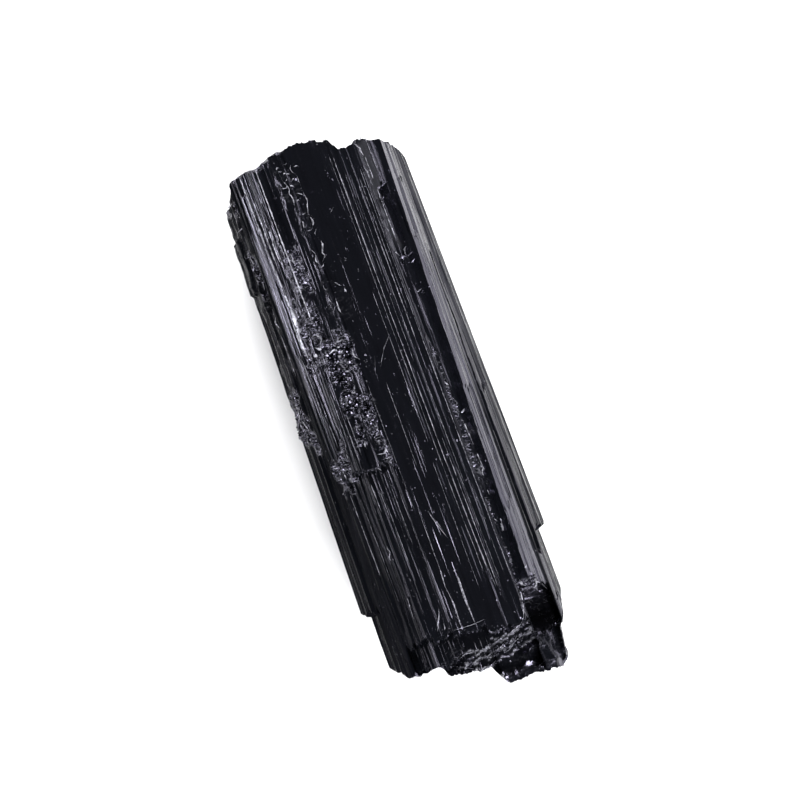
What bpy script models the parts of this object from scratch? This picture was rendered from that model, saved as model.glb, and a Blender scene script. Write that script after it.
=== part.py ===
"""A black tourmaline crystal lying on one of its long faces.

+X runs across the crystal, +Y along it from the broken foot to the head, and +Z up. The origin is
under the middle of the crystal, on the surface that it rests on.

The crystal grew as one piece, so it is one solid. Its skin is a grid of columns and rows: a column is
a place round the prism section and a row is a place along the crystal. Four things shape the skin:
the faces of the section, the ridges that run along them, the breaks where a ridge steps up or down,
and the layers, which stand proud of the faces or are broken out of them. A broken face closes each end.

Places across are shares of half the width, from -1 to 1, places along are shares of half the length
and heights on the section are shares of the whole height. Depths are metres. A place across is the
one at the foot: towards the head it moves with the faces.
"""

from typing import NamedTuple

import bmesh
import bpy
import numpy as np
from mathutils import Vector
from mathutils.geometry import delaunay_2d_cdt

MM = 0.001

# Driving dimensions
LENGTH = 81.8 * MM
WIDTH = 28.9 * MM
HEIGHT = 21.0 * MM
CORE_UP = 0.46  # height of the line that the skin is measured from

# Corners of the prism section, from the right edge over the top: across, up
FOOT_SECTION = (
    (1.00, 0.43), (0.97, 0.52), (0.86, 0.70), (0.645, 0.885), (0.50, 0.955), (0.21, 1.00),
    (-0.14, 0.98), (-0.45, 0.885), (-0.71, 0.75), (-0.90, 0.56), (-1.00, 0.37),
    (-0.93, 0.22), (-0.74, 0.085), (-0.46, 0.018), (-0.22, 0.00), (0.26, 0.00), (0.56, 0.022),
    (0.79, 0.11), (0.955, 0.27),
)
HEAD_SECTION = (
    (0.95, 0.40), (0.93, 0.48), (0.875, 0.62), (0.79, 0.79), (0.52, 0.91), (0.20, 0.96),
    (-0.15, 0.94), (-0.45, 0.85), (-0.68, 0.71), (-0.80, 0.54), (-0.88, 0.36),
    (-0.83, 0.21), (-0.69, 0.08), (-0.45, 0.018), (-0.22, 0.00), (0.26, 0.00), (0.56, 0.022),
    (0.77, 0.10), (0.90, 0.25),
)
LEFT_CORNER = 10  # the corner at the left edge, where the top of the section ends
SECTION_PLACES = (-0.70, 0.90)  # where along the crystal the two sections are

# Edge of each end as seen from above, from left to right: across, along
HEAD_EDGE = (
    (-1.00, 0.74), (-0.93, 0.755), (-0.90, 0.86), (-0.79, 0.90), (-0.72, 0.954), (-0.545, 0.971),
    (-0.45, 0.962), (-0.30, 0.985), (-0.08, 1.00), (0.13, 0.988), (0.28, 0.974), (0.34, 0.952),
    (0.37, 0.930), (0.43, 0.925), (0.56, 0.938), (0.62, 0.946), (0.68, 0.929), (0.77, 0.922),
    (0.85, 0.899), (0.93, 0.865), (0.96, 0.83), (1.00, 0.77),
)
FOOT_EDGE = (
    (-1.00, -0.73), (-0.92, -0.75), (-0.90, -0.81), (-0.80, -0.834), (-0.77, -0.858), (-0.71, -0.858),
    (-0.69, -0.838), (-0.67, -0.866), (-0.42, -0.858), (-0.40, -0.889), (-0.28, -0.909),
    (0.02, -0.920), (0.065, -0.955), (0.12, -0.988), (0.42, -0.995), (0.62, -1.00), (0.71, -0.996),
    (0.755, -0.97), (0.765, -0.885), (0.83, -0.851), (0.89, -0.783), (0.93, -0.74), (1.00, -0.70),
)
END_PEAKS = (-0.08, 0.62)  # places across where the head and the foot reach furthest

# The broken face at each end, which is made of the ends of short columns
HEAD_RECESS = 2.6 * MM  # how far its underside stays short of its upper edge
FOOT_RECESS = 3.4 * MM
COLUMN_SIZE = 2.6 * MM
COLUMN_STRAY = 0.34  # share of its size that a column's corner strays
COLUMN_TOP = 0.84  # share of its size that a column's end fills, and the rest is its wall
COLUMN_DROP = 1.7 * MM
COLUMN_TILT = 0.55 * MM  # from a column's middle to its edge
RIM_JAG = 0.35 * MM
DROP_BELOW = 0.25  # share of the height below the upper edge where the columns drop in full
END_MARGIN = 0.60 * MM  # from the rim to the nearest broken column

# Crests of the ridges on the upper side, from right to left
CRESTS = (
    1.00, 0.955, 0.905, 0.82, 0.76, 0.70, 0.59, 0.49, 0.425, 0.360, 0.288, 0.215, 0.08, -0.06, -0.20,
    -0.27, -0.34, -0.41, -0.467, -0.516, -0.564, -0.61, -0.67, -0.73, -0.79, -0.84, -0.89, -0.94, -1.00,
)
LOWER_SPACING = (1.3 * MM, 2.3 * MM)  # between crests on the underside
STEEPNESS = (0.30, 0.85)  # least and most slope of a furrow's sides
FILLED = 0.75  # least share of its depth that a furrow keeps past a break
DEEPEST = 0.55 * MM
OFF_CENTRE = 0.18  # how far a furrow's bottom strays from halfway between its crests
CALM_FACE = (-0.18, 0.20)  # the dark face on top, which is nearly smooth
CALM_SHARE = 0.12  # of the usual depth that its furrows and steps have
REST_STRIP = (-0.22, 0.26)  # the strip of the underside that stays flat

# Breaks where some of the ridges step up or down
RIDGE_BREAKS = (-0.40, -0.02)
STEP = 0.30 * MM
STEP_CHANCE = 0.13
LOWEST_STEP = -2  # steps below the face that a ridge may sink to
STRAY = 2.6 * MM  # how far a break wanders between one ridge and the next
JAG = 0.50 * MM  # how far the broken end of a layer wanders

EDGE_WIDTH = 0.20 * MM  # how wide the wall of a layer is drawn
LEAST_GAP = 0.19 * MM  # between two columns
SQUEEZE = 0.10 * MM  # between rows that the end of the crystal pushes together
SEED = 41

# How Blender fills a flat outline with three-sided faces
INSIDE_OUTLINE = 1  # only the faces inside it
SAME_POINT = 1e-9  # metres between two points that count as one


class Layer(NamedTuple):
    """A patch of the skin that stands proud, or is sunk, by height: two places across and two along."""

    name: str
    upper: bool
    left: float
    right: float
    foot: float
    head: float
    height: float


PAST = 1.3  # past either end, for a layer that runs out over it
LAYERS = (
    Layer("trough", True, 0.535, 0.645, -0.71, PAST, -1.25 * MM),
    Layer("trough_head", True, 0.535, 0.645, 0.50, PAST, 0.60 * MM),
    Layer("dark_pit", True, 0.571, 0.623, 0.50, 0.755, -1.00 * MM),
    Layer("right_slot", True, 0.835, 0.877, -0.60, 0.50, -0.75 * MM),
    Layer("left_slab", True, -0.73, -0.17, -0.14, PAST, 1.00 * MM),
    Layer("crumbled_band", True, -0.40, -0.17, -0.14, PAST, -0.45 * MM),
    Layer("shoulder_slab", True, -1.00, -0.93, 0.56, 0.755, 0.40 * MM),
    Layer("shoulder_pit", True, -0.88, -0.80, 0.50, 0.66, -0.70 * MM),
    Layer("left_skirt_end", True, -1.00, -0.83, -PAST, -0.60, -1.25 * MM),
    Layer("left_skirt_end_below", False, -1.00, -0.78, -PAST, -0.60, -1.25 * MM),
    Layer("right_skirt_end", True, 0.89, 1.00, -PAST, -0.515, -1.10 * MM),
    Layer("right_skirt_end_below", False, 0.90, 1.00, -PAST, -0.515, -1.10 * MM),
    Layer("under_left", False, -0.88, -0.50, -0.60, 0.24, -0.80 * MM),
    Layer("under_left_head", False, -0.70, -0.32, 0.37, PAST, -0.90 * MM),
    Layer("under_right", False, 0.60, 0.86, 0.12, PAST, -0.90 * MM),
    Layer("under_right_foot", False, 0.36, 0.70, -PAST, -0.27, -0.80 * MM),
)
# Broken out of the upper side of the foot, straight down
SUNK = (
    Layer("foot_left", True, -0.69, -0.17, -PAST, -0.76, -1.10 * MM),
    Layer("foot_left_deep", True, -0.69, 0.065, -PAST, -0.86, -1.10 * MM),
    Layer("foot_middle", True, -0.17, 0.10, -PAST, -0.76, -1.40 * MM),
    Layer("foot_right", True, 0.10, 0.52, -0.86, -0.80, -1.30 * MM),
    Layer("foot_hollow", True, 0.54, 0.81, -0.86, -0.71, -3.60 * MM),
    Layer("foot_chunk", True, 0.065, 0.81, -PAST, -0.86, -2.90 * MM),
)
LAYER_BREAKS = {place for layer in LAYERS + SUNK for place in (layer.foot, layer.head)} - {-PAST, PAST}
BREAKS = np.array(sorted({*LAYER_BREAKS, *RIDGE_BREAKS})) * LENGTH / 2


def section_corners(section):
    """A section's corners in metres, with the first one repeated."""
    return np.array(section + section[:1]) * (WIDTH / 2, HEIGHT)


CORNERS = section_corners(FOOT_SECTION)
HEAD_CORNERS = section_corners(HEAD_SECTION)
DISTANCE = np.concatenate([[0.0], np.cumsum(np.hypot(*np.diff(CORNERS, axis=0).T))])
ROUND = DISTANCE[-1]
CORE = np.array([0.0, CORE_UP * HEIGHT])


def on_section(place, along):
    """Where places round the section are at places along: across and up, between the two sections."""
    foot = [np.interp(place, DISTANCE, CORNERS[:, axis]) for axis in (0, 1)]
    head = [np.interp(place, DISTANCE, HEAD_CORNERS[:, axis]) for axis in (0, 1)]
    share = np.interp(along, np.array(SECTION_PLACES) * LENGTH / 2, (0, 1))
    return np.array([low + (high - low) * share for low, high in zip(foot, head)])


def round_to(upper, across):
    """The distance round the section to a place across, on its upper or its lower side."""
    if upper:
        part = slice(LEFT_CORNER, None, -1)
    else:
        part = slice(LEFT_CORNER, None)
    return np.interp(np.asarray(across) * WIDTH / 2, CORNERS[part, 0], DISTANCE[part])


def between(upper, left, right, place):
    """Which places round the section lie between two places across, on its upper or lower side."""
    first, last = sorted(round_to(upper, np.array([left, right])))
    if not upper and right >= 1:
        last = ROUND
    return (place >= first) & (place <= last)


def spaced(rng, start, end, spacing):
    """Places between start and end, at uneven steps."""
    places = [start]
    while places[-1] < end:
        places.append(places[-1] + rng.uniform(*spacing))
    return [place for place in places[1:] if place < end - spacing[0] / 2]


def ridge_profile(rng):
    """Places round the section and the skin's height at each, for every stretch between two breaks.

    Crests and furrow bottoms take turns. Each ridge keeps to one step between two breaks, and a
    furrow's bottom lies below the lower of its two ridges."""
    upper = round_to(True, np.array(CRESTS))
    rest = sorted(round_to(False, np.array(REST_STRIP)))
    left = spaced(rng, upper[-1], rest[0], LOWER_SPACING)
    right = spaced(rng, rest[1], ROUND, LOWER_SPACING)
    crest = np.array([*upper, *left, *rest, *right])
    gap = np.diff(crest, append=crest[0] + ROUND)
    bottom = crest + gap * (0.5 + rng.uniform(-OFF_CENTRE, OFF_CENTRE, len(gap)))

    stretches = len(BREAKS) + 1
    change = rng.choice([-1, 1], (stretches, len(crest))) * (rng.random((stretches, len(crest))) < STEP_CHANCE)
    step = np.zeros(len(crest))
    steps = []
    for row in change:
        step = np.clip(step + row, LOWEST_STEP, 0)
        steps.append(step)
    calm = between(True, *CALM_FACE, crest) | np.isin(crest, [0.0, DISTANCE[LEFT_CORNER]])
    resting = between(False, *REST_STRIP, crest)
    crest_height = np.array(steps) * STEP * np.where(calm, CALM_SHARE, 1.0) * ~resting

    depth = np.minimum(rng.uniform(*STEEPNESS, len(gap)) * gap / 2, DEEPEST)
    depth = depth * rng.uniform(FILLED, 1, (stretches, len(gap)))
    depth = depth * np.where(between(True, *CALM_FACE, bottom), CALM_SHARE, 1.0)
    lower = np.minimum(crest_height, np.roll(crest_height, -1, axis=1))
    bottom_height = (lower - depth) * ~between(False, *REST_STRIP, bottom)

    places = np.concatenate([crest, bottom % ROUND])
    order = np.argsort(places)
    return places[order], np.hstack([crest_height, bottom_height])[:, order]


def column_places(profile_places):
    """Every place round the section that gets a column of points, where they aren't too close."""
    peaks = round_to(True, np.array(END_PEAKS))
    walls = [
        round_to(layer.upper, edge) + side * EDGE_WIDTH / 2
        for layer in LAYERS + SUNK
        for edge in (layer.left, layer.right)
        if abs(edge) < 1
        for side in (-1, 1)
    ]
    chosen = []
    for place in [*peaks, *walls, *DISTANCE[:-1], *profile_places]:
        gaps = [min(abs(place - other), ROUND - abs(place - other)) for other in chosen]
        if min(gaps, default=ROUND) > LEAST_GAP:
            chosen.append(place % ROUND)
    return np.array(sorted(chosen))


def layer_height(layers, place, along):
    """How far layers raise or sink the skin at places round the section and along the crystal."""
    height = np.zeros(np.broadcast(place, along).shape)
    for layer in layers:
        beside = between(layer.upper, layer.left, layer.right, place)
        within = (along >= layer.foot * LENGTH / 2) & (along <= layer.head * LENGTH / 2)
        height += layer.height * (beside & within)
    return height


def skin(place, along, level, heights):
    """Points of the skin, across and up: the section, the ridges and layers that stand out from it
    or go into it, and the patches that are sunk straight down. Level is the place along that the
    ridges and layers are read at."""
    section = on_section(place, along)
    outward = section - CORE[:, None, None]
    outward /= np.hypot(*outward)
    ridges = heights[np.searchsorted(BREAKS, level), np.arange(len(place))]
    x, z = section + outward * (ridges + layer_height(LAYERS, place, level))
    return x, np.maximum(z + layer_height(SUNK, place, level), 0.0)


def end_slope(x, z, edge, recess, outward):
    """Where an end face lies at points of it before it breaks into columns, which is its edge as
    seen from above less a slope towards the underside, and the share of its drop a column has there."""
    places, ends = np.array(edge).T
    top = np.interp(x, CORNERS[LEFT_CORNER::-1, 0], CORNERS[LEFT_CORNER::-1, 1])
    below = np.clip((top - z) / HEIGHT, 0, 1)
    seen = np.interp(x / (WIDTH / 2), places, ends) * LENGTH / 2
    return seen - outward * recess * below, np.clip(below / DROP_BELOW, 0, 1)


def rim_places(rng, place, band, heights, edge, recess, outward):
    """How far along the skin ends at each column of points: every ridge ends where it broke."""
    x, z = skin(place, outward * np.full((1, len(place)), LENGTH / 2), outward * PAST * LENGTH / 2, heights)
    slope, share = end_slope(x[0], z[0], edge, recess, outward)
    drop = rng.uniform(0, COLUMN_DROP, band.max() + 1)[band] * share
    jag = rng.uniform(0, RIM_JAG, len(place)) * ~np.isin(place, round_to(True, np.array(END_PEAKS)))
    edge_places, ends = np.array(edge).T
    seen = np.interp(x[0] / (WIDTH / 2), edge_places, ends) * LENGTH / 2
    return np.where(between(True, -1, 1, place), seen, slope - outward * drop) - outward * jag


def row_places(rng, place, band):
    """Every row's place along at each column, two rows to a break, and how far it has strayed.

    A break that ends a layer on the upper side keeps its place but for its jags."""
    stray = rng.uniform(-STRAY, STRAY, (len(BREAKS), band.max() + 1))[:, band]
    ends_layer = np.isin(BREAKS, np.array(sorted(LAYER_BREAKS)) * LENGTH / 2)
    stray[ends_layer[:, None] & (place <= DISTANCE[LEFT_CORNER])] = 0.0
    stray += rng.uniform(-JAG, JAG, stray.shape)
    stray = np.repeat(stray, 2, axis=0)
    walls = np.repeat(BREAKS, 2) + np.tile([-0.5, 0.5], len(BREAKS)) * EDGE_WIDTH
    return walls[:, None] + stray, stray


def skin_rows():
    """The rows of the side of the crystal as an array of rows, columns and coordinates."""
    rng = np.random.default_rng(SEED)
    profile_places, profile_heights = ridge_profile(rng)
    place = column_places(profile_places)
    heights = np.array([np.interp(place, profile_places, row, period=ROUND) for row in profile_heights])
    band = np.searchsorted(profile_places[::2], place)
    foot = rim_places(rng, place, band, heights, FOOT_EDGE, FOOT_RECESS, -1)
    head = rim_places(rng, place, band, heights, HEAD_EDGE, HEAD_RECESS, 1)

    along, stray = row_places(rng, place, band)
    push = np.arange(len(along))[:, None] * SQUEEZE
    along = np.maximum.accumulate(along - push, axis=0) + push
    along = np.maximum(along, foot + push + SQUEEZE)
    along = np.minimum(along, head - push[::-1] - SQUEEZE)
    level = np.vstack([foot, along - stray, head])
    along = np.vstack([foot, along, head])
    x, z = skin(place, along, level, heights)
    return np.stack([x, along, z], axis=-1)


def well_inside(points, rim):
    """Which points, places across and up, lie inside a closed rim of such points and not near it."""
    start = rim
    side = np.roll(rim, -1, axis=0) - rim
    away = points[:, None] - start
    share = np.clip((away * side).sum(axis=-1) / (side**2).sum(axis=-1), 0, 1)
    near = np.hypot(*(away - share[..., None] * side).T).min(axis=0)
    straddles = (start[:, 1] > points[:, 1:]) != (start[:, 1] + side[:, 1] > points[:, 1:])
    beside = np.where(straddles, away[..., 1] * side[:, 0] / np.where(straddles, side[:, 1], 1), 0)
    crossings = (straddles & (away[..., 0] < beside)).sum(axis=1)
    return (crossings % 2 == 1) & (near > END_MARGIN)


def column_ends(rng, edge, recess, outward):
    """The four corners of each broken column's end, in world coordinates."""
    across = np.arange(-WIDTH / 2, WIDTH / 2 + COLUMN_SIZE, COLUMN_SIZE)
    up = np.arange(0, HEIGHT + COLUMN_SIZE, COLUMN_SIZE)
    lattice = np.stack(np.meshgrid(across, up, indexing="ij"), axis=-1)
    lattice += rng.uniform(-COLUMN_STRAY, COLUMN_STRAY, lattice.shape) * COLUMN_SIZE
    corners = np.stack([lattice[:-1, :-1], lattice[1:, :-1], lattice[1:, 1:], lattice[:-1, 1:]], axis=2)
    middle = corners.mean(axis=2, keepdims=True)
    corners = middle + (corners - middle) * COLUMN_TOP
    tilt = rng.uniform(-1, 1, middle.shape) * COLUMN_TILT / (COLUMN_SIZE / 2)
    drop = rng.uniform(0, COLUMN_DROP, corners.shape[:2])[..., None]
    drop = drop + ((corners - middle) * tilt).sum(axis=-1)
    slope, share = end_slope(corners[..., 0], corners[..., 1], edge, recess, outward)
    along = slope - outward * drop * share
    return np.stack([corners[..., 0], along, corners[..., 1]], axis=-1).reshape(-1, 3)


def close_end(bm, rim, rng, edge, recess, outward):
    """Covers one end: three-sided faces between the rim's vertices and the broken columns' corners."""
    flat_rim = np.array([(vertex.co.x, vertex.co.z) for vertex in rim])
    ends = column_ends(rng, edge, recess, outward)
    ends = ends[well_inside(ends[:, [0, 2]], flat_rim)]
    vertices = list(rim) + [bm.verts.new(point) for point in ends]
    flat = [Vector((vertex.co.x, vertex.co.z)) for vertex in vertices]
    outline = list(range(len(rim)))
    _, _, faces, sources, _, _ = delaunay_2d_cdt(flat, [], [outline], INSIDE_OUTLINE, SAME_POINT)
    for face in faces:
        bm.faces.new([vertices[sources[corner][0]] for corner in face])


def crystal_mesh():
    """The whole skin as one closed mesh."""
    rng = np.random.default_rng(SEED + 1)
    bm = bmesh.new()
    rows = [[bm.verts.new(point) for point in row] for row in skin_rows()]
    for lower, upper in zip(rows, rows[1:]):
        for i in range(len(lower)):
            bm.faces.new((lower[i], lower[i - 1], upper[i - 1], upper[i]))
    close_end(bm, rows[0], rng, FOOT_EDGE, FOOT_RECESS, -1)
    close_end(bm, rows[-1], rng, HEAD_EDGE, HEAD_RECESS, 1)
    bmesh.ops.recalc_face_normals(bm, faces=bm.faces)
    mesh = bpy.data.meshes.new("crystal")
    bm.to_mesh(mesh)
    bm.free()
    return mesh


def black_tourmaline():
    """Near-black, faintly blue and glassy."""
    material = bpy.data.materials.new("black_tourmaline")
    material.use_nodes = True
    shader = material.node_tree.nodes["Principled BSDF"]
    shader.inputs["Base Color"].default_value = (0.012, 0.013, 0.018, 1.0)
    shader.inputs["Roughness"].default_value = 0.22
    shader.inputs["Metallic"].default_value = 0.0
    shader.inputs["IOR"].default_value = 1.65
    return material


def clear_scene():
    """Removes whatever the scene holds."""
    for obj in list(bpy.data.objects):
        bpy.data.objects.remove(obj, do_unlink=True)


def main():
    """Builds the crystal in an empty scene."""
    clear_scene()
    mesh = crystal_mesh()
    mesh.materials.append(black_tourmaline())
    crystal = bpy.data.objects.new("crystal", mesh)
    bpy.context.scene.collection.objects.link(crystal)


if __name__ == "__main__":
    main()
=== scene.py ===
"""Looks of a raw black tourmaline crystal that lies on one of its long faces.

The crystal's skin repeats the formulas of its solid on a much finer grid and adds what is too small for
the solid: striations, the ends of broken laths, crumbled patches, thin layers at the foot and jagged
rims. Crumbs of the same stone and thin edges painted pale as highlights lie on it. +X runs across the
crystal, +Y along it from the broken foot to the head, and +Z up.

Places across are shares of half the width, from -1 to 1, places along are shares of half the length
and heights on the section are shares of the whole height. A place round the section is a distance in
metres from the right edge, over the top to the left edge and back along the underside.
"""

import math
from typing import NamedTuple

import bpy
import numpy as np
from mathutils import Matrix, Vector


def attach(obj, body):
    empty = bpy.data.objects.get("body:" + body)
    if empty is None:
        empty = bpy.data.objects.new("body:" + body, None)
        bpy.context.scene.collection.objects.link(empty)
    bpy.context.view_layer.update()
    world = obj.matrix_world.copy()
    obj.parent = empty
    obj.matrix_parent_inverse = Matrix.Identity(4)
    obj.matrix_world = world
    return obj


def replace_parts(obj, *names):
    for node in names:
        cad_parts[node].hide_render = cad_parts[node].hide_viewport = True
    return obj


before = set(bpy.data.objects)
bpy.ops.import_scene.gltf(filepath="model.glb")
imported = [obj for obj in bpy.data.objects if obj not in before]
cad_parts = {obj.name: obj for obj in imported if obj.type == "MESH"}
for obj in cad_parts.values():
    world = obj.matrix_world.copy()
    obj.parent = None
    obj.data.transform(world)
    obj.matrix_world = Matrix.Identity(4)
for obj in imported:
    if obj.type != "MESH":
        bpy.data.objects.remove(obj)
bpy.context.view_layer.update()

bl_info = {
    "name": "Black tourmaline crystal",
    "version": (1, 0, 0),
    "blender": (4, 5, 0),
    "location": "3D View > Sidebar > Tourmaline",
    "description": "Builds a raw black tourmaline crystal and the stage that it is shown on",
    "category": "Object",
}

MM = 0.001
STONE_SLOT = "black_tourmaline"

# The solid's form, as in its own source but for the left end of the foot's edge, which is fuller here
LENGTH = 81.8 * MM
WIDTH = 28.9 * MM
HEIGHT = 21.0 * MM
CORE_UP = 0.46  # height of the core that the skin's outward directions start from

FOOT_SECTION = (
    (1.00, 0.43), (0.97, 0.52), (0.86, 0.70), (0.645, 0.885), (0.50, 0.955), (0.21, 1.00),
    (-0.14, 0.98), (-0.45, 0.885), (-0.71, 0.75), (-0.90, 0.56), (-1.00, 0.37),
    (-0.93, 0.22), (-0.74, 0.085), (-0.46, 0.018), (-0.22, 0.00), (0.26, 0.00), (0.56, 0.022),
    (0.79, 0.11), (0.955, 0.27),
)
HEAD_SECTION = (
    (0.95, 0.40), (0.93, 0.48), (0.875, 0.62), (0.79, 0.79), (0.52, 0.91), (0.20, 0.96),
    (-0.15, 0.94), (-0.45, 0.85), (-0.68, 0.71), (-0.80, 0.54), (-0.88, 0.36),
    (-0.83, 0.21), (-0.69, 0.08), (-0.45, 0.018), (-0.22, 0.00), (0.26, 0.00), (0.56, 0.022),
    (0.77, 0.10), (0.90, 0.25),
)
LEFT_CORNER = 10  # number of the corner where a section's upper side meets its underside
SECTION_PLACES = (-0.70, 0.90)  # places along of the two sections

HEAD_EDGE = (
    (-1.00, 0.74), (-0.93, 0.755), (-0.90, 0.86), (-0.79, 0.90), (-0.72, 0.954), (-0.545, 0.971),
    (-0.45, 0.962), (-0.30, 0.985), (-0.08, 1.00), (0.13, 0.988), (0.28, 0.974), (0.34, 0.952),
    (0.37, 0.930), (0.43, 0.925), (0.56, 0.938), (0.62, 0.946), (0.68, 0.929), (0.77, 0.922),
    (0.85, 0.899), (0.93, 0.865), (0.96, 0.83), (1.00, 0.77),
)
FOOT_EDGE = (
    (-1.00, -0.80), (-0.92, -0.81), (-0.89, -0.825), (-0.80, -0.840), (-0.77, -0.858), (-0.71, -0.858),
    (-0.69, -0.838), (-0.67, -0.866), (-0.42, -0.858), (-0.40, -0.889), (-0.28, -0.909),
    (0.02, -0.920), (0.065, -0.955), (0.12, -0.988), (0.42, -0.995), (0.62, -1.00), (0.71, -0.996),
    (0.755, -0.97), (0.765, -0.885), (0.83, -0.851), (0.89, -0.783), (0.93, -0.74), (1.00, -0.70),
)
HEAD_RECESS = 2.6 * MM  # how far an end face falls back from its upper edge down to the underside
FOOT_RECESS = 3.4 * MM
COLUMN_SIZE = 2.6 * MM  # width of the broken columns on the end faces
COLUMN_DROP = 1.7 * MM  # how far the lowest of them broke off
DROP_BELOW = 0.25  # share of the height over which their drop sets in below the upper edge

# Places across of the upper side's ridges, from right to left
CRESTS = (
    1.00, 0.955, 0.905, 0.82, 0.76, 0.70, 0.59, 0.49, 0.425, 0.360, 0.288, 0.215, 0.08, -0.06, -0.20,
    -0.27, -0.34, -0.41, -0.467, -0.516, -0.564, -0.61, -0.67, -0.73, -0.79, -0.84, -0.89, -0.94, -1.00,
)
LOWER_SPACING = (1.3 * MM, 2.3 * MM)  # between the underside's ridges
STEEPNESS = (0.30, 0.85)  # of a furrow's sides
FILLED = 0.75  # least share of its depth that a furrow keeps from stretch to stretch
DEEPEST = 0.55 * MM
OFF_CENTRE = 0.18  # how far off the middle a furrow's bottom lies, as a share of its width
CALM_FACE = (-0.18, 0.20)  # places across between which ridges have only a share of their height
CALM_SHARE = 0.12
REST_STRIP = (-0.22, 0.26)  # the flat strip that the crystal lies on
RIDGE_BREAKS = (-0.40, -0.02)  # places along where ridges step, as they do at the layers' ends
STEP = 0.30 * MM
STEP_CHANCE = 0.13
LOWEST_STEP = -2
STRAY = 2.6 * MM  # how far from its break a ridge steps
JAG = 0.50 * MM  # how far the ends of layers and laths are shaken
EDGE_WIDTH = 0.20 * MM  # over which a layer's edge slopes
SEED = 41
PAST = 1.3  # a place along that lies past both ends


class Layer(NamedTuple):
    """A patch of the skin that stands proud, or is sunk, by height: two places across and two along."""

    name: str
    upper: bool
    left: float
    right: float
    foot: float
    head: float
    height: float


LAYERS = (
    Layer("trough", True, 0.535, 0.645, -0.71, PAST, -1.25 * MM),
    Layer("trough_head", True, 0.535, 0.645, 0.50, PAST, 0.60 * MM),
    Layer("dark_pit", True, 0.571, 0.623, 0.50, 0.755, -1.00 * MM),
    Layer("right_slot", True, 0.835, 0.877, -0.60, 0.50, -0.75 * MM),
    Layer("left_slab", True, -0.73, -0.17, -0.14, PAST, 1.00 * MM),
    Layer("crumbled_band", True, -0.40, -0.17, -0.14, PAST, -0.45 * MM),
    Layer("shoulder_slab", True, -1.00, -0.93, 0.56, 0.755, 0.40 * MM),
    Layer("shoulder_pit", True, -0.88, -0.80, 0.50, 0.66, -0.70 * MM),
    Layer("left_skirt_end", True, -1.00, -0.83, -PAST, -0.60, -1.25 * MM),
    Layer("left_skirt_end_below", False, -1.00, -0.78, -PAST, -0.60, -1.25 * MM),
    Layer("right_skirt_end", True, 0.89, 1.00, -PAST, -0.515, -1.10 * MM),
    Layer("right_skirt_end_below", False, 0.90, 1.00, -PAST, -0.515, -1.10 * MM),
    Layer("under_left", False, -0.88, -0.50, -0.60, 0.24, -0.80 * MM),
    Layer("under_left_head", False, -0.70, -0.32, 0.37, PAST, -0.90 * MM),
    Layer("under_right", False, 0.60, 0.86, 0.12, PAST, -0.90 * MM),
    Layer("under_right_foot", False, 0.36, 0.70, -PAST, -0.27, -0.80 * MM),
)
HOLLOW = Layer("foot_hollow", True, 0.54, 0.81, -0.86, -0.71, -3.60 * MM)
SUNK = (
    Layer("foot_left", True, -0.69, -0.17, -PAST, -0.76, -1.10 * MM),
    Layer("foot_left_deep", True, -0.69, 0.065, -PAST, -0.86, -1.10 * MM),
    Layer("foot_middle", True, -0.17, 0.10, -PAST, -0.76, -1.40 * MM),
    Layer("foot_right", True, 0.10, 0.52, -0.86, -0.80, -1.30 * MM),
    HOLLOW,
    Layer("foot_chunk", True, 0.065, 0.81, -PAST, -0.86, -2.90 * MM),
)
LAYER_BREAKS = {place for layer in LAYERS + SUNK for place in (layer.foot, layer.head)} - {-PAST, PAST}
BREAKS = np.array(sorted({*LAYER_BREAKS, *RIDGE_BREAKS})) * LENGTH / 2


class Patch(NamedTuple):
    """A patch of the skin that crumbled: two places across, two along, the shares of the full relief
    that its fine grains and its broad scoops have, and how pale its dust makes it."""

    name: str
    upper: bool
    left: float
    right: float
    foot: float
    head: float
    grains: float
    scoops: float
    dust: float = 0.0


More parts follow.
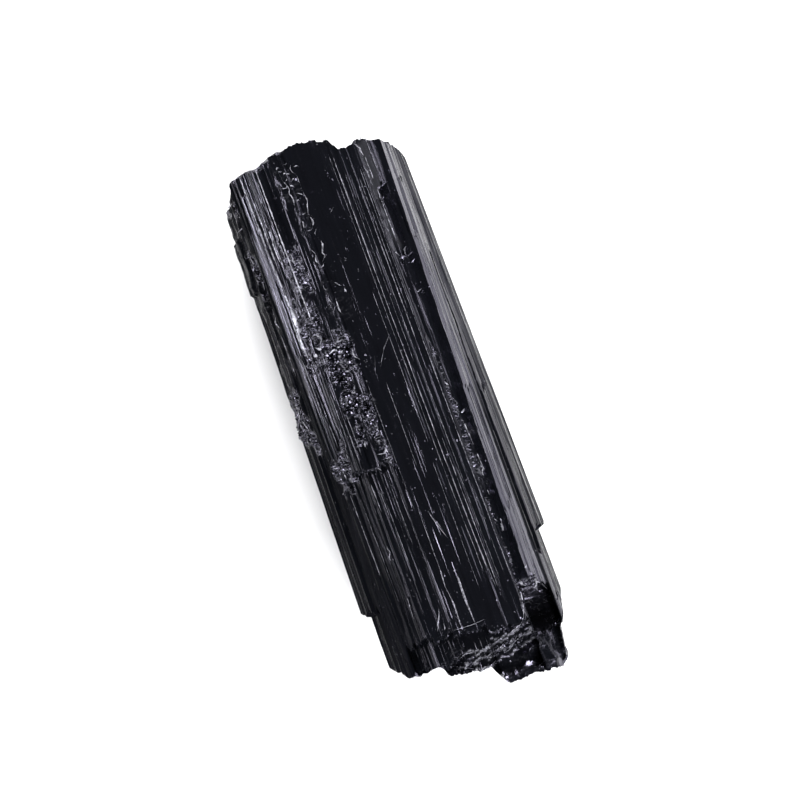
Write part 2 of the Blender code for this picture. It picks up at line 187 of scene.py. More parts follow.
PATCHES = (
    Patch("foil", True, -0.429, -0.167, 0.193, 0.31, 1.00, 0.35),
    Patch("foil_left", True, -0.593, -0.429, 0.241, 0.324, 0.90, 0.30),
    Patch("foil_up", True, -0.458, -0.38, 0.303, 0.378, 0.90, 0.20),
    Patch("foil_right", True, -0.264, -0.138, 0.221, 0.33, 0.80, 0.30),
    Patch("foil_low", True, -0.4, -0.254, 0.091, 0.207, 1.00, 0.35),
    Patch("tail_right", True, -0.274, -0.167, -0.122, 0.098, 0.90, 0.40),
    Patch("tail_spot", True, -0.409, -0.341, -0.039, 0.022, 1.00, 0.30),
    Patch("band_grains", True, -0.448, -0.322, 0.502, 0.659, 0.55, 0.20),
    Patch("band_low_grains", True, -0.545, -0.361, 0.365, 0.474, 0.55, 0.20),
    Patch("crack_ladder", True, -0.274, -0.08, 0.789, 0.954, 0.05, 0.45),
    Patch("crack_middle", True, -0.225, -0.09, 0.68, 0.789, 0.05, 0.35),
    Patch("crack_low", True, -0.235, -0.177, 0.365, 0.68, 0.12, 0.20),
    Patch("crack_side", True, -0.157, -0.022, 0.385, 0.509, 0.05, 0.20),
    Patch("left_flecks", True, -0.893, -0.69, 0.228, 0.796, 0.03, 0.25),
    Patch("left_bright", True, -0.816, -0.738, 0.495, 0.693, 0.90, 0.60),
    Patch("left_rim", True, -0.893, -0.738, 0.83, 0.885, 0.80, 0.50),
    Patch("left_grains", True, -0.952, -0.835, 0.009, 0.193, 1.00, 0.35),
    Patch("left_low", True, -0.709, -0.651, -0.166, -0.039, 0.80, 0.30),
    Patch("left_low_right", True, -0.613, -0.554, -0.17, -0.033, 0.80, 0.30),
    Patch("trough_matte", True, 0.54, 0.695, 0.557, 0.94, 0.04, 0.10, 0.022),
    Patch("trough_sparks", True, 0.55, 0.656, -0.307, 0.193, 0.35, 0.50),
    Patch("trough_gravel", True, 0.565, 0.605, -0.65, -0.33, 0.95, 0.4),
    Patch("trough_lip", True, 0.54, 0.70, -0.715, -0.66, 1.00, 0.6),
    Patch("foot_ledges", True, -0.448, 0.501, -0.889, -0.82, 0.06, 0.10),
    Patch("foot_chunk", True, 0.065, 0.811, -1.108, -0.882, 0.04, 0.60),
    Patch("head_rim", True, -0.85, -0.10, 0.965, 1.10, 0.50, 0.4),
    Patch("under_middle", False, -0.80, -0.50, -0.50, 0.10, 0.50, 0.7),
    Patch("under_foot", False, 0.36, 0.72, -1.00, -0.30, 0.40, 0.8),
    Patch("under_head", False, 0.58, 0.88, 0.20, 0.95, 0.40, 0.6),
)


class Lath(NamedTuple):
    """The upright edge of a lath, which runs along the crystal as a bright line: its place across,
    where it starts and ends along, its height, and the width over which the skin falls back behind
    it. A height above 0 faces left and one below 0 faces right."""

    across: float
    foot: float
    head: float
    height: float
    width: float


EDGES = (
    Lath(0.285, -0.70, 1.10, 0.078 * MM, 0.8 * MM),
    Lath(0.262, -0.64, 1.10, -0.060 * MM, 0.5 * MM),
    Lath(0.345, -0.66, 0.90, 0.054 * MM, 0.7 * MM),
    Lath(0.372, -0.66, 0.30, -0.048 * MM, 0.6 * MM),
    Lath(0.395, 0.10, 1.10, 0.060 * MM, 0.6 * MM),
    Lath(0.430, -0.50, 1.10, -0.072 * MM, 0.9 * MM),
    Lath(0.462, -0.40, 1.10, -0.060 * MM, 0.5 * MM),
    Lath(0.495, -0.69, 0.60, -0.040 * MM, 0.7 * MM),
    Lath(0.215, -0.20, 0.50, 0.042 * MM, 0.9 * MM),
    Lath(0.180, -0.62, -0.30, 0.048 * MM, 0.6 * MM),
    Lath(0.120, -0.72, -0.08, 0.036 * MM, 0.8 * MM),
    Lath(0.015, -0.76, -0.52, 0.096 * MM, 0.6 * MM),
    Lath(-0.105, -0.78, -0.25, 0.072 * MM, 0.9 * MM),
    Lath(-0.155, -0.30, 0.35, 0.080 * MM, 0.7 * MM),
    Lath(-0.215, -0.70, -0.16, 0.060 * MM, 0.8 * MM),
    Lath(-0.330, -0.74, -0.16, 0.066 * MM, 0.9 * MM),
    Lath(-0.390, -0.60, -0.16, 0.072 * MM, 0.5 * MM),
    Lath(-0.475, -0.74, -0.16, 0.060 * MM, 0.8 * MM),
    Lath(-0.545, 0.20, 1.10, 0.140 * MM, 0.7 * MM),
    Lath(-0.590, 0.30, 1.10, 0.160 * MM, 0.6 * MM),
    Lath(-0.640, 0.25, 1.10, 0.140 * MM, 0.6 * MM),
    Lath(-0.585, -0.74, -0.16, 0.060 * MM, 0.8 * MM),
    Lath(0.735, -0.70, 0.40, -0.054 * MM, 0.7 * MM),
    Lath(0.790, -0.60, 0.95, -0.036 * MM, 0.9 * MM),
)


class Line(NamedTuple):
    """A thin splintery edge, painted pale as a highlight where it would catch the light: its greatest width,
    how pale its painted highlight is, and its corners as places across and along."""

    width: float
    pale: float
    corners: tuple


# Edges along the laths, and then those of cracks and of broken stone. All were placed one by one.
# Each line's paleness is a painted highlight
LINES = (
    Line(0.16 * MM, 0.45, ((0.083, 0.73), (0.136, 0.746))),
    Line(0.16 * MM, 0.55, ((-0.031, -0.334), (0.007, -0.389), (0.056, -0.443))),
    Line(0.13 * MM, 0.40, ((-0.007, -0.361), (0.046, -0.416))),
    Line(0.12 * MM, 0.22, ((0.017, 0.176), (0.114, 0.235), (0.23, 0.279))),
    Line(0.12 * MM, 0.18, ((-0.051, 0.159), (0.007, 0.221))),
    Line(0.40 * MM, 0.55, ((-0.622, 0.954), (-0.618, 0.707), (-0.613, 0.587))),
    Line(0.26 * MM, 0.80, ((-0.579, 0.94), (-0.577, 0.604))),
    Line(0.36 * MM, 1.00, ((-0.538, 0.933), (-0.535, 0.632))),
    Line(0.80 * MM, 1.00, ((-0.556, 0.928), (-0.545, 0.92), (-0.535, 0.899))),
    Line(0.42 * MM, 1.00, ((-0.506, 0.865), (-0.498, 0.707), (-0.493, 0.58))),
    Line(0.24 * MM, 0.85, ((-0.451, 0.967), (-0.45, 0.57), (-0.448, 0.406))),
    Line(0.18 * MM, 0.55, ((-0.656, 0.926), (-0.659, 0.796))),
    Line(0.16 * MM, 0.45, ((-0.598, 0.92), (-0.595, 0.639))),
    Line(0.16 * MM, 0.50, ((-0.519, 0.92), (-0.519, 0.604))),
    Line(0.15 * MM, 0.45, ((-0.557, 0.878), (-0.556, 0.611))),
    Line(0.14 * MM, 0.40, ((-0.477, 0.92), (-0.475, 0.536))),
    Line(0.14 * MM, 0.30, ((-0.64, 0.793), (-0.636, 0.536))),
    Line(0.36 * MM, 0.95, ((-0.606, 0.611), (-0.597, 0.536), (-0.593, 0.461))),
    Line(0.62 * MM, 1.00, (
        (-0.597, 0.536), (-0.596, 0.474), (-0.593, 0.406), (-0.605, 0.358), (-0.603, 0.296),
    )),
    Line(0.46 * MM, 1.00, ((-0.591, 0.488), (-0.585, 0.426), (-0.584, 0.378), (-0.593, 0.31))),
    Line(0.22 * MM, 0.60, ((-0.627, 0.433), (-0.627, 0.317))),
    Line(0.20 * MM, 0.55, ((-0.729, 0.57), (-0.731, 0.426))),
    Line(0.20 * MM, 0.55, ((-0.722, 0.33), (-0.725, 0.057))),
    Line(0.16 * MM, 0.40, ((-0.777, 0.406), (-0.777, 0.248))),
    Line(0.16 * MM, 0.35, ((-0.666, 0.365), (-0.661, 0.091))),
    Line(0.16 * MM, 0.45, ((-0.842, 0.782), (-0.741, 0.795))),
    Line(0.15 * MM, 0.35, ((-0.567, 0.33), (-0.564, 0.125))),
    Line(0.16 * MM, 0.45, ((-0.898, 0.741), (-0.896, 0.587))),
    Line(0.15 * MM, 0.35, ((-0.869, 0.731), (-0.867, 0.604))),
    Line(0.14 * MM, 0.30, ((-0.695, 0.759), (-0.694, 0.536))),
    Line(0.15 * MM, 0.30, ((-0.69, 0.241), (-0.686, 0.05))),
    Line(0.14 * MM, 0.30, ((-0.637, 0.228), (-0.634, -0.026))),
    Line(0.14 * MM, 0.30, ((-0.569, 0.221), (-0.564, -0.012))),
    Line(0.13 * MM, 0.25, ((-0.525, 0.159), (-0.522, -0.08))),
    Line(0.13 * MM, 0.25, ((-0.487, 0.125), (-0.483, -0.101))),
    Line(0.13 * MM, 0.25, ((-0.448, 0.091), (-0.444, -0.08))),
    Line(0.15 * MM, 0.45, ((0.261, 0.92), (0.255, 0.33), (0.253, -0.183), (0.269, -0.594))),
    Line(0.20 * MM, 0.60, ((0.294, 0.906), (0.292, 0.228), (0.296, -0.183), (0.312, -0.594))),
    Line(0.14 * MM, 0.40, ((0.346, 0.844), (0.342, 0.159))),
    Line(0.15 * MM, 0.40, ((0.387, 0.83), (0.385, 0.091), (0.393, -0.286))),
    Line(0.18 * MM, 0.42, ((0.433, 0.865), (0.433, 0.228))),
    Line(0.18 * MM, 0.38, ((0.497, 0.837), (0.495, 0.159), (0.505, -0.649))),
    Line(0.16 * MM, 0.38, ((0.462, 0.817), (0.462, 0.33))),
    Line(0.14 * MM, 0.34, ((0.517, 0.844), (0.521, 0.536))),
    Line(0.17 * MM, 0.42, ((0.298, -0.183), (0.306, -0.491), (0.332, -0.663))),
    Line(0.18 * MM, 0.46, ((0.341, -0.115), (0.35, -0.663))),
    Line(0.15 * MM, 0.30, ((0.375, -0.217), (0.39, -0.628))),
    Line(0.14 * MM, 0.32, ((0.201, 0.433), (0.203, -0.115))),
    Line(0.14 * MM, 0.34, ((0.177, -0.183), (0.174, -0.649))),
    Line(0.13 * MM, 0.30, ((0.443, -0.183), (0.449, -0.628))),
    Line(0.15 * MM, 0.36, ((0.022, 0.125), (0.019, -0.183))),
    Line(0.40 * MM, 0.40, ((0.019, -0.567), (0.011, -0.663), (0.021, -0.752))),
    Line(0.14 * MM, 0.40, ((-0.114, -0.307), (-0.117, -0.56))),
    Line(0.22 * MM, 0.42, ((-0.113, -0.526), (-0.128, -0.594), (-0.107, -0.663), (-0.115, -0.745))),
    Line(0.13 * MM, 0.28, ((-0.153, 0.159), (-0.151, -0.32))),
    Line(0.13 * MM, 0.30, ((-0.225, -0.115), (-0.221, -0.491))),
    Line(0.13 * MM, 0.30, ((-0.283, -0.183), (-0.279, -0.423))),
    Line(0.16 * MM, 0.45, ((-0.458, -0.176), (-0.452, -0.286))),
    Line(0.14 * MM, 0.40, ((-0.4, -0.211), (-0.396, -0.32))),
    Line(0.14 * MM, 0.34, ((-0.38, -0.265), (-0.376, -0.491))),
    Line(0.14 * MM, 0.40, ((-0.684, -0.176), (-0.68, -0.491))),
    Line(0.14 * MM, 0.36, ((-0.506, -0.58), (-0.525, -0.676))),
    Line(0.12 * MM, 0.28, ((-0.603, -0.217), (-0.597, -0.594))),
    Line(0.22 * MM, 0.50, ((0.472, -0.793), (0.511, -0.752), (0.54, -0.697))),
    Line(0.18 * MM, 0.40, ((0.269, -0.824), (0.404, -0.807), (0.492, -0.793))),
    Line(0.18 * MM, 0.35, ((-0.332, -0.861), (-0.235, -0.875), (-0.138, -0.896))),
    Line(0.16 * MM, 0.36, ((-0.08, -0.878), (0.056, -0.865), (0.133, -0.861), (0.249, -0.841))),
    Line(0.18 * MM, 0.40, ((0.172, -0.882), (0.249, -0.875), (0.327, -0.854), (0.482, -0.834))),
    Line(0.16 * MM, 0.36, ((0.114, -0.834), (0.23, -0.824))),
    Line(0.20 * MM, 0.40, ((-0.157, -0.902), (-0.041, -0.909), (0.094, -0.896))),
    Line(0.20 * MM, 0.40, ((-0.254, -0.848), (-0.177, -0.834), (-0.061, -0.841))),
    Line(0.18 * MM, 0.60, ((0.598, 0.375), (0.666, 0.385))),
    Line(0.16 * MM, 0.25, ((-0.206, -0.745), (-0.012, -0.748), (0.133, -0.745))),
    Line(0.16 * MM, 0.35, ((0.007, -0.793), (0.003, -0.875))),
    Line(0.16 * MM, 0.30, ((0.065, -0.8), (0.069, -0.861))),
    Line(0.16 * MM, 0.30, ((-0.051, -0.8), (-0.051, -0.861))),
    Line(0.20 * MM, 0.50, ((0.588, -0.08), (0.627, -0.354), (0.588, -0.491))),
    Line(0.18 * MM, 0.40, ((0.584, 0.896), (0.588, 0.57))),
    Line(0.16 * MM, 0.30, ((0.646, 0.947), (0.656, 0.793))),
)
# The cracks' edges, painted pale as highlights in the same way
CRACKS = (
    Line(0.28 * MM, 0.65, (
        (-0.118, 0.947), (-0.133, 0.913), (-0.094, 0.877), (-0.094, 0.834), (-0.087, 0.789),
        (-0.105, 0.757), (-0.094, 0.735), (-0.133, 0.711), (-0.203, 0.695),
    )),
    Line(0.26 * MM, 0.70, (
        (-0.203, 0.695), (-0.211, 0.659), (-0.203, 0.615), (-0.187, 0.572), (-0.225, 0.539),
        (-0.211, 0.517),
    )),
    Line(0.20 * MM, 0.48, ((-0.211, 0.517), (-0.211, 0.474), (-0.203, 0.42), (-0.211, 0.337))),
    Line(0.26 * MM, 0.65, (
        (-0.264, 0.942), (-0.248, 0.909), (-0.241, 0.882), (-0.217, 0.854), (-0.217, 0.822),
        (-0.211, 0.795), (-0.203, 0.757), (-0.211, 0.724), (-0.203, 0.695),
    )),
    Line(0.30 * MM, 0.65, (
        (-0.094, 0.702), (-0.118, 0.67), (-0.102, 0.637), (-0.118, 0.594), (-0.156, 0.567),
    )),
    Line(0.34 * MM, 0.55, ((-0.056, 0.485), (-0.026, 0.463), (-0.051, 0.447))),
    Line(0.30 * MM, 0.40, ((-0.138, 0.509), (-0.08, 0.491), (-0.056, 0.485))),
    Line(0.32 * MM, 0.60, ((-0.11, 0.467), (-0.149, 0.452), (-0.141, 0.425), (-0.153, 0.385))),
    Line(0.36 * MM, 0.72, ((-0.269, 0.93), (-0.22, 0.933))),
    Line(0.34 * MM, 0.64, ((-0.259, 0.914), (-0.211, 0.918))),
    Line(0.42 * MM, 0.76, ((-0.225, 0.906), (-0.167, 0.909))),
    Line(0.42 * MM, 0.76, ((-0.245, 0.882), (-0.177, 0.896))),
    Line(0.40 * MM, 0.72, ((-0.225, 0.86), (-0.138, 0.858))),
    Line(0.34 * MM, 0.56, ((-0.128, 0.913), (-0.056, 0.92))),
    Line(0.40 * MM, 0.72, ((-0.211, 0.8), (-0.157, 0.812))),
    Line(0.34 * MM, 0.64, ((-0.157, 0.832), (-0.094, 0.82))),
    Line(0.52 * MM, 0.80, ((-0.148, 0.707), (-0.119, 0.717), (-0.099, 0.738))),
    Line(0.30 * MM, 0.56, ((-0.196, 0.755), (-0.109, 0.755))),
    Line(0.34 * MM, 0.64, ((-0.186, 0.567), (-0.128, 0.577))),
    Line(0.34 * MM, 0.60, ((-0.274, 0.868), (-0.225, 0.865))),
    Line(0.30 * MM, 0.56, ((-0.177, 0.875), (-0.109, 0.885))),
    Line(0.28 * MM, 0.48, ((-0.196, 0.94), (-0.138, 0.947))),
    Line(0.36 * MM, 0.60, ((-0.797, 0.68), (-0.772, 0.663), (-0.787, 0.646))),
    Line(0.28 * MM, 0.55, ((-0.758, 0.683), (-0.738, 0.652))),
    Line(0.36 * MM, 0.50, ((-0.797, 0.594), (-0.758, 0.587), (-0.768, 0.57))),
    Line(0.32 * MM, 0.50, ((-0.806, 0.526), (-0.768, 0.533), (-0.787, 0.498))),
    Line(0.36 * MM, 0.70, ((-0.777, 0.461), (-0.758, 0.433))),
    Line(0.30 * MM, 0.60, ((-0.884, 0.872), (-0.816, 0.882), (-0.758, 0.892))),
    Line(0.30 * MM, 0.70, ((-0.835, 0.858), (-0.826, 0.83))),
    Line(0.28 * MM, 0.50, ((-0.777, 0.844), (-0.738, 0.817))),
    Line(0.30 * MM, 0.60, ((-0.855, 0.707), (-0.835, 0.687))),
    Line(0.30 * MM, 0.70, ((-0.777, 0.372), (-0.758, 0.385), (-0.758, 0.324))),
    Line(0.30 * MM, 0.50, ((-0.932, 0.187), (-0.874, 0.125), (-0.855, 0.043))),
    Line(0.28 * MM, 0.50, ((-0.913, 0.139), (-0.893, 0.07), (-0.855, 0.029))),
    Line(0.26 * MM, 0.50, ((-0.874, 0.18), (-0.855, 0.118))),
    Line(0.40 * MM, 0.90, ((-0.39, 0.615), (-0.351, 0.608), (-0.332, 0.594))),
    Line(0.34 * MM, 0.70, ((-0.409, 0.598), (-0.38, 0.584))),
    Line(0.30 * MM, 0.60, ((-0.429, 0.646), (-0.4, 0.632), (-0.409, 0.604))),
    Line(0.28 * MM, 0.50, ((-0.525, 0.543), (-0.467, 0.536), (-0.429, 0.522))),
    Line(0.28 * MM, 0.50, ((-0.516, 0.522), (-0.448, 0.512))),
    Line(0.50 * MM, 0.80, ((-0.574, 0.31), (-0.525, 0.317), (-0.467, 0.31), (-0.448, 0.324))),
    Line(0.44 * MM, 0.70, ((-0.564, 0.289), (-0.506, 0.293), (-0.467, 0.276))),
    Line(0.50 * MM, 0.85, ((-0.419, 0.3), (-0.351, 0.307), (-0.293, 0.296), (-0.254, 0.303))),
    Line(0.46 * MM, 0.80, ((-0.409, 0.283), (-0.361, 0.289), (-0.312, 0.276), (-0.245, 0.286))),
    Line(0.46 * MM, 0.85, (
        (-0.4, 0.265), (-0.351, 0.272), (-0.322, 0.259), (-0.264, 0.269), (-0.215, 0.255),
    )),
    Line(0.44 * MM, 0.80, ((-0.39, 0.248), (-0.332, 0.252), (-0.293, 0.238), (-0.235, 0.248))),
    Line(0.44 * MM, 0.80, (
        (-0.38, 0.228), (-0.332, 0.235), (-0.303, 0.221), (-0.254, 0.228), (-0.206, 0.214),
    )),
    Line(0.40 * MM, 0.70, ((-0.37, 0.207), (-0.322, 0.214), (-0.283, 0.2), (-0.235, 0.207))),
    Line(0.44 * MM, 0.85, ((-0.37, 0.183), (-0.332, 0.19), (-0.303, 0.176))),
    Line(0.40 * MM, 0.75, ((-0.37, 0.159), (-0.322, 0.166), (-0.293, 0.152))),
    Line(0.48 * MM, 0.90, ((-0.37, 0.135), (-0.332, 0.142), (-0.312, 0.125), (-0.274, 0.135))),
    Line(0.44 * MM, 0.85, ((-0.37, 0.115), (-0.332, 0.118), (-0.322, 0.104))),
    Line(0.34 * MM, 0.70, ((-0.448, 0.365), (-0.419, 0.348), (-0.438, 0.324))),
    Line(0.34 * MM, 0.60, ((-0.506, 0.262), (-0.487, 0.235), (-0.496, 0.207))),
    Line(0.30 * MM, 0.60, ((-0.196, 0.31), (-0.157, 0.289), (-0.177, 0.255), (-0.157, 0.228))),
    Line(0.55 * MM, 0.95, ((-0.385, 0.015), (-0.366, 0.002), (-0.375, -0.019))),
    Line(0.44 * MM, 0.85, ((-0.38, 0.077), (-0.384, 0.05))),
    Line(0.40 * MM, 0.70, ((-0.361, -0.033), (-0.37, -0.067))),
    Line(0.55 * MM, 1.00, ((-0.245, -0.057), (-0.215, -0.05), (-0.206, -0.067))),
    Line(0.40 * MM, 0.80, ((-0.254, 0.057), (-0.215, 0.043), (-0.235, 0.022))),
    Line(0.36 * MM, 0.70, ((-0.225, 0.009), (-0.196, -0.012), (-0.225, -0.026))),
    Line(0.44 * MM, 0.95, ((-0.283, -0.091), (-0.235, -0.098), (-0.206, -0.087), (-0.196, -0.108))),
    Line(0.34 * MM, 0.80, ((-0.245, -0.122), (-0.225, -0.128))),
    Line(0.34 * MM, 0.80, ((-0.341, -0.142), (-0.322, -0.146))),
    Line(0.36 * MM, 0.75, ((-0.68, -0.053), (-0.661, -0.08), (-0.68, -0.108), (-0.661, -0.149))),
    Line(0.36 * MM, 0.75, ((-0.593, -0.046), (-0.579, -0.08), (-0.593, -0.115), (-0.579, -0.163))),
    Line(0.26 * MM, 0.60, ((-0.264, -0.656), (-0.293, -0.683), (-0.332, -0.711), (-0.38, -0.772))),
    Line(0.24 * MM, 0.50, ((-0.254, -0.704), (-0.293, -0.752))),
    Line(0.24 * MM, 0.50, ((-0.521, -0.389), (-0.529, -0.478))),
    Line(0.28 * MM, 0.55, (
        (0.54, -0.69), (0.598, -0.711), (0.676, -0.707), (0.714, -0.69), (0.772, -0.711),
        (0.811, -0.738),
    )),
    Line(0.32 * MM, 0.65, ((0.559, -0.656), (0.579, -0.683), (0.617, -0.693))),
    Line(0.26 * MM, 0.45, ((0.617, -0.649), (0.676, -0.635), (0.705, -0.620))),
    Line(0.26 * MM, 0.45, ((0.521, 0.536), (0.559, 0.526), (0.588, 0.505))),
    Line(0.26 * MM, 0.45, (
        (0.685, 0.57), (0.656, 0.539), (0.617, 0.519), (0.588, 0.490), (0.579, 0.474),
    )),
    Line(0.32 * MM, 0.60, ((0.54, -0.046), (0.579, -0.06), (0.617, -0.053), (0.656, -0.040))),
    Line(0.34 * MM, 0.65, ((0.55, -0.08), (0.588, -0.087), (0.617, -0.108))),
    Line(0.30 * MM, 0.70, ((0.559, 0.067), (0.593, 0.036))),
    Line(0.26 * MM, 0.70, ((0.569, -0.231), (0.588, -0.265), (0.579, -0.293))),
    Line(0.26 * MM, 0.70, ((0.608, -0.252), (0.617, -0.293), (0.598, -0.32))),
    Line(0.24 * MM, 0.60, ((0.579, -0.334), (0.598, -0.361))),
    Line(0.24 * MM, 0.50, ((0.559, -0.437), (0.588, -0.464), (0.569, -0.498))),
    Line(0.30 * MM, 0.50, ((0.53, 0.92), (0.579, 0.906), (0.559, 0.878))),
    Line(0.28 * MM, 0.50, ((0.617, 0.94), (0.588, 0.92))),
    Line(0.26 * MM, 0.45, ((0.521, 0.844), (0.559, 0.817), (0.54, 0.776))),
    Line(0.26 * MM, 0.40, ((0.55, 0.728), (0.579, 0.693), (0.55, 0.652))),
    Line(0.24 * MM, 0.40, ((0.53, 0.625), (0.559, 0.591))),
)
LINE_STEP = 0.25 * MM  # between the samples of a line
LEAST_SAMPLES = 6
LEAST_KNOTS = 3
LINE_RISE = 0.40  # height of a line as a share of its width
LINE_SUNK = 0.05 * MM  # how deep its two lower corners lie in the skin
LEAST_WIDTH = 0.05  # share of its width that a line always has between its tips
TAPER = 1.0 * MM  # over which a line tapers off towards its tips
TIP_WIDTH = 0.15  # share of its width that is left at a tip
STEEPEST = 6.0  # a line thins out where the skin climbs more steeply than this, less one
WALL_WIDTH = 0.1  # share of its width that is left on a steep wall
LINE_BROKEN = 0.5  # share of broken stone in a line
# How far each turns aside, how far apart its turns are, and by what share it shrinks there
LINE_HABIT = (0.02 * MM, 1.50 * MM, 0.6)
CRACK_HABIT = (0.30 * MM, 0.62 * MM, 2.0)
PALE = (0.25, 1.0)  # share of the paleness of its painted highlight that a line has from place to place

# Share of the solid's furrows and steps that the upper side has besides its laths, from left to right
UPPER_RIDGES = (
    (-1.00, 0.50), (-0.76, 0.50), (-0.70, 0.35), (-0.50, 0.30), (-0.44, 0.10), (-0.10, 0.05), (0.22, 0.05),
    (0.28, 0.25), (0.50, 0.30), (0.66, 0.30), (0.90, 0.35), (1.00, 0.50),
)

# How strongly each face is striated, from left to right: across, at the head, at the foot
STRIATED = (
    (-1.00, 0.45, 0.30), (-0.90, 0.60, 0.30), (-0.73, 0.90, 0.45), (-0.67, 1.20, 0.55), (-0.48, 1.20, 0.55),
    (-0.44, 0.30, 0.50), (-0.19, 0.25, 0.50), (-0.17, 0.45, 0.48), (0.18, 0.45, 0.48), (0.22, 0.42, 0.48),
    (0.50, 0.38, 0.45), (0.54, 0.30, 0.30), (0.64, 0.30, 0.30), (0.68, 0.35, 0.35), (0.97, 0.30, 0.35),
    (1.00, 0.40, 0.40),
)
# Painted shade: how much of its shine each face loses, so that it lies dark as if in shade, in the same way
PAINTED_SHADE = (
    (-1.00, 0.985, 0.99), (-0.675, 0.985, 0.99), (-0.655, 0.05, 0.97), (-0.48, 0.05, 0.86),
    (-0.44, 0.45, 0.76), (-0.20, 0.45, 0.55), (-0.17, 0.00, 0.00), (0.50, 0.00, 0.00),
    (0.515, 0.60, 0.86), (0.64, 0.45, 0.82), (0.66, 0.00, 0.00), (0.800, 0.00, 0.10),
    (0.806, 0.30, 0.98), (0.832, 0.30, 0.98), (0.838, 0.20, 0.45), (0.865, 0.75, 0.45),
    (0.875, 0.48, 0.62), (0.92, 0.72, 0.80), (1.00, 0.84, 0.90),
)
UNDERSIDE_STRIATED = 0.7
UNDERSIDE_PAINTED_SHADE = 0.30
CHANGE_ALONG = (-0.10, 0.30)  # where along the foot's strengths give way to the head's

# The fine relief, in millimetres. Each row starts with a height or a share of one, and then has the
# width and the length of its cells.
STRIATIONS = (  # the last value says whether they are soft or creased
    (0.034, 0.26, 11, False), (0.044, 0.50, 16, False), (0.050, 1.00, 22, False), (0.060, 2.10, 30, True),
)
FLAT_LATHS = ((0.030, 0.42, 9), (0.045, 0.95, 15))
STRENGTH_DRIFT = (0.35, 2.5, 14)  # share by which the striations grow and shrink
FLAKES = (0.16, 0.95, 1.00)
FLAKE_TILT = 1.6
FOLDS = ((1.0, 1.5, 0.75), (0.6, 0.8, 0.5))
FOLD_DEPTH = 0.40
SCOOPS = ((1.50, 3.0, 2.4), (0.22, 1.3, 1.0))
SCOOPS_SUNK = 0.25
RAGGED = ((1.0, 0.9, 1.3), (0.7, 2.2, 4.0))  # how the edges of crumbled patches wander
RAGGEDNESS = 1.1
EDGE_SHARE = 0.20  # how full a patch is at its edge where that doesn't wander
FADE_ACROSS = 0.40 * MM  # over which a patch fades at its sides
FADE_ALONG = 1.4 * MM
LATH_WANDER = 0.10 * MM  # how far the edge of a lath turns aside, and over what length
LATH_BEND = 9 * MM
JAG_DRIFT = (0.45 * MM, 2.5 * MM)  # cells of the soft part of the jags of layers
JAG_LATH = 0.8 * MM  # width of their abrupt part
LAYER_WANDER = 0.22 * MM  # how far the sides of layers wander, and the cells of it
WANDER_DRIFT = (3.0 * MM, 3.5 * MM)

# Thin layers that broke off one below the other at the foot: where each ends along, in the middle, and
# how far that moves towards the head for a step to the right
LEDGES = ((-0.832, 0.06), (-0.852, 0.30), (-0.868, 0.16), (-0.893, 0.36), (-0.912, 0.20))
LEDGE_DROP = 0.38 * MM
LEDGE_SIDES = (-0.30, 0.52)
LEDGE_JAGS = ((0.40 * MM, 1.3 * MM), (0.20 * MM, 0.5 * MM))  # depth and width of the jags of their ends
LEDGE_RIM = 0.20 * MM  # width of their edges painted pale as highlights, and how pale these are
LEDGE_HIGHLIGHT = 0.30
LEDGE_HIGHLIGHT_DRIFT = (0.7 * MM, 1.5 * MM)  # cells in which the painted highlight comes and goes, round its mean
LEDGE_HIGHLIGHT_MEAN = 0.4

# The rounded hollow between the ledges and the right edge: its middle, half its size and its floor
HOLLOW_MIDDLE = (0.672, -0.785)
HOLLOW_HALF = (2.0 * MM, 3.2 * MM)
HOLLOW_FLOOR = 12.8 * MM
HOLLOW_RISE = 0.4 * MM
HOLLOW_BROKEN = 0.12  # share of broken stone in it

# Columns and rows of points
UPPER_SPACING = 0.140 * MM
LOWER_COLUMNS = 0.46 * MM
ROW_SPACING = (
    (-1.00, 0.25), (-0.72, 0.25), (-0.66, 0.60), (-0.24, 0.60), (-0.16, 0.39), (0.70, 0.39),
    (0.92, 0.33), (1.00, 0.28),
)
ROW_SAMPLES = 4001  # places at which the spacing of the rows is read
BEND_FROM = 0.35  # place along past which the rows bend towards the ends
NEAR_END = 4.5 * MM  # over which they take up the jags of the end
SMOOTHED = 41  # columns that an end's edge is averaged over where the rows only bend

# The two end faces
END_RINGS = 20
RIM_JAGS = ((0.45 * MM, 0.9 * MM), (0.25 * MM, 0.4 * MM))  # depth and width of the jags of their rims
LEAVES_RIM = 0.06  # share of the way to the middle over which an end face leaves its rim
COLUMN_TILT = 0.5
CHIP_SIZE = 1.5 * MM
CHIP_DROP = 0.30 * MM
CHIP_TILT = 0.6
FACET_CELLS = 64  # more than an end face is wide, so that its facets don't repeat

# What the stone is like at a point, as shares from 0 to 1; the third is painted shade, the fourth dust and
# painted highlights
SHARES = ("broken", "striated", "weathered", "worn")
END_SHARES = (0.30, 0.0, 0.45, 0.0)

# Crumbs: from how many rows past an end they start, how they gather where the stone is most broken,
# their size in millimetres, and the shares by which their sides and their corners vary
CRUMB_FREE_ROWS = 6
CRUMB_FOCUS = 3
CRUMB_SIZE = (0.08, 0.30)
CRUMB_STRETCH = (0.6, 1.4)
CRUMB_SHAKE = (0.6, 1.2)
BOX_CORNERS = np.array([(x, y, z) for z in (-1, 1) for y in (-1, 1) for x in (-1, 1)]) / 2
BOX_FACES = np.array([(0, 2, 3, 1), (4, 5, 7, 6), (0, 1, 5, 4), (2, 6, 7, 3), (0, 4, 6, 2), (1, 3, 7, 5)])

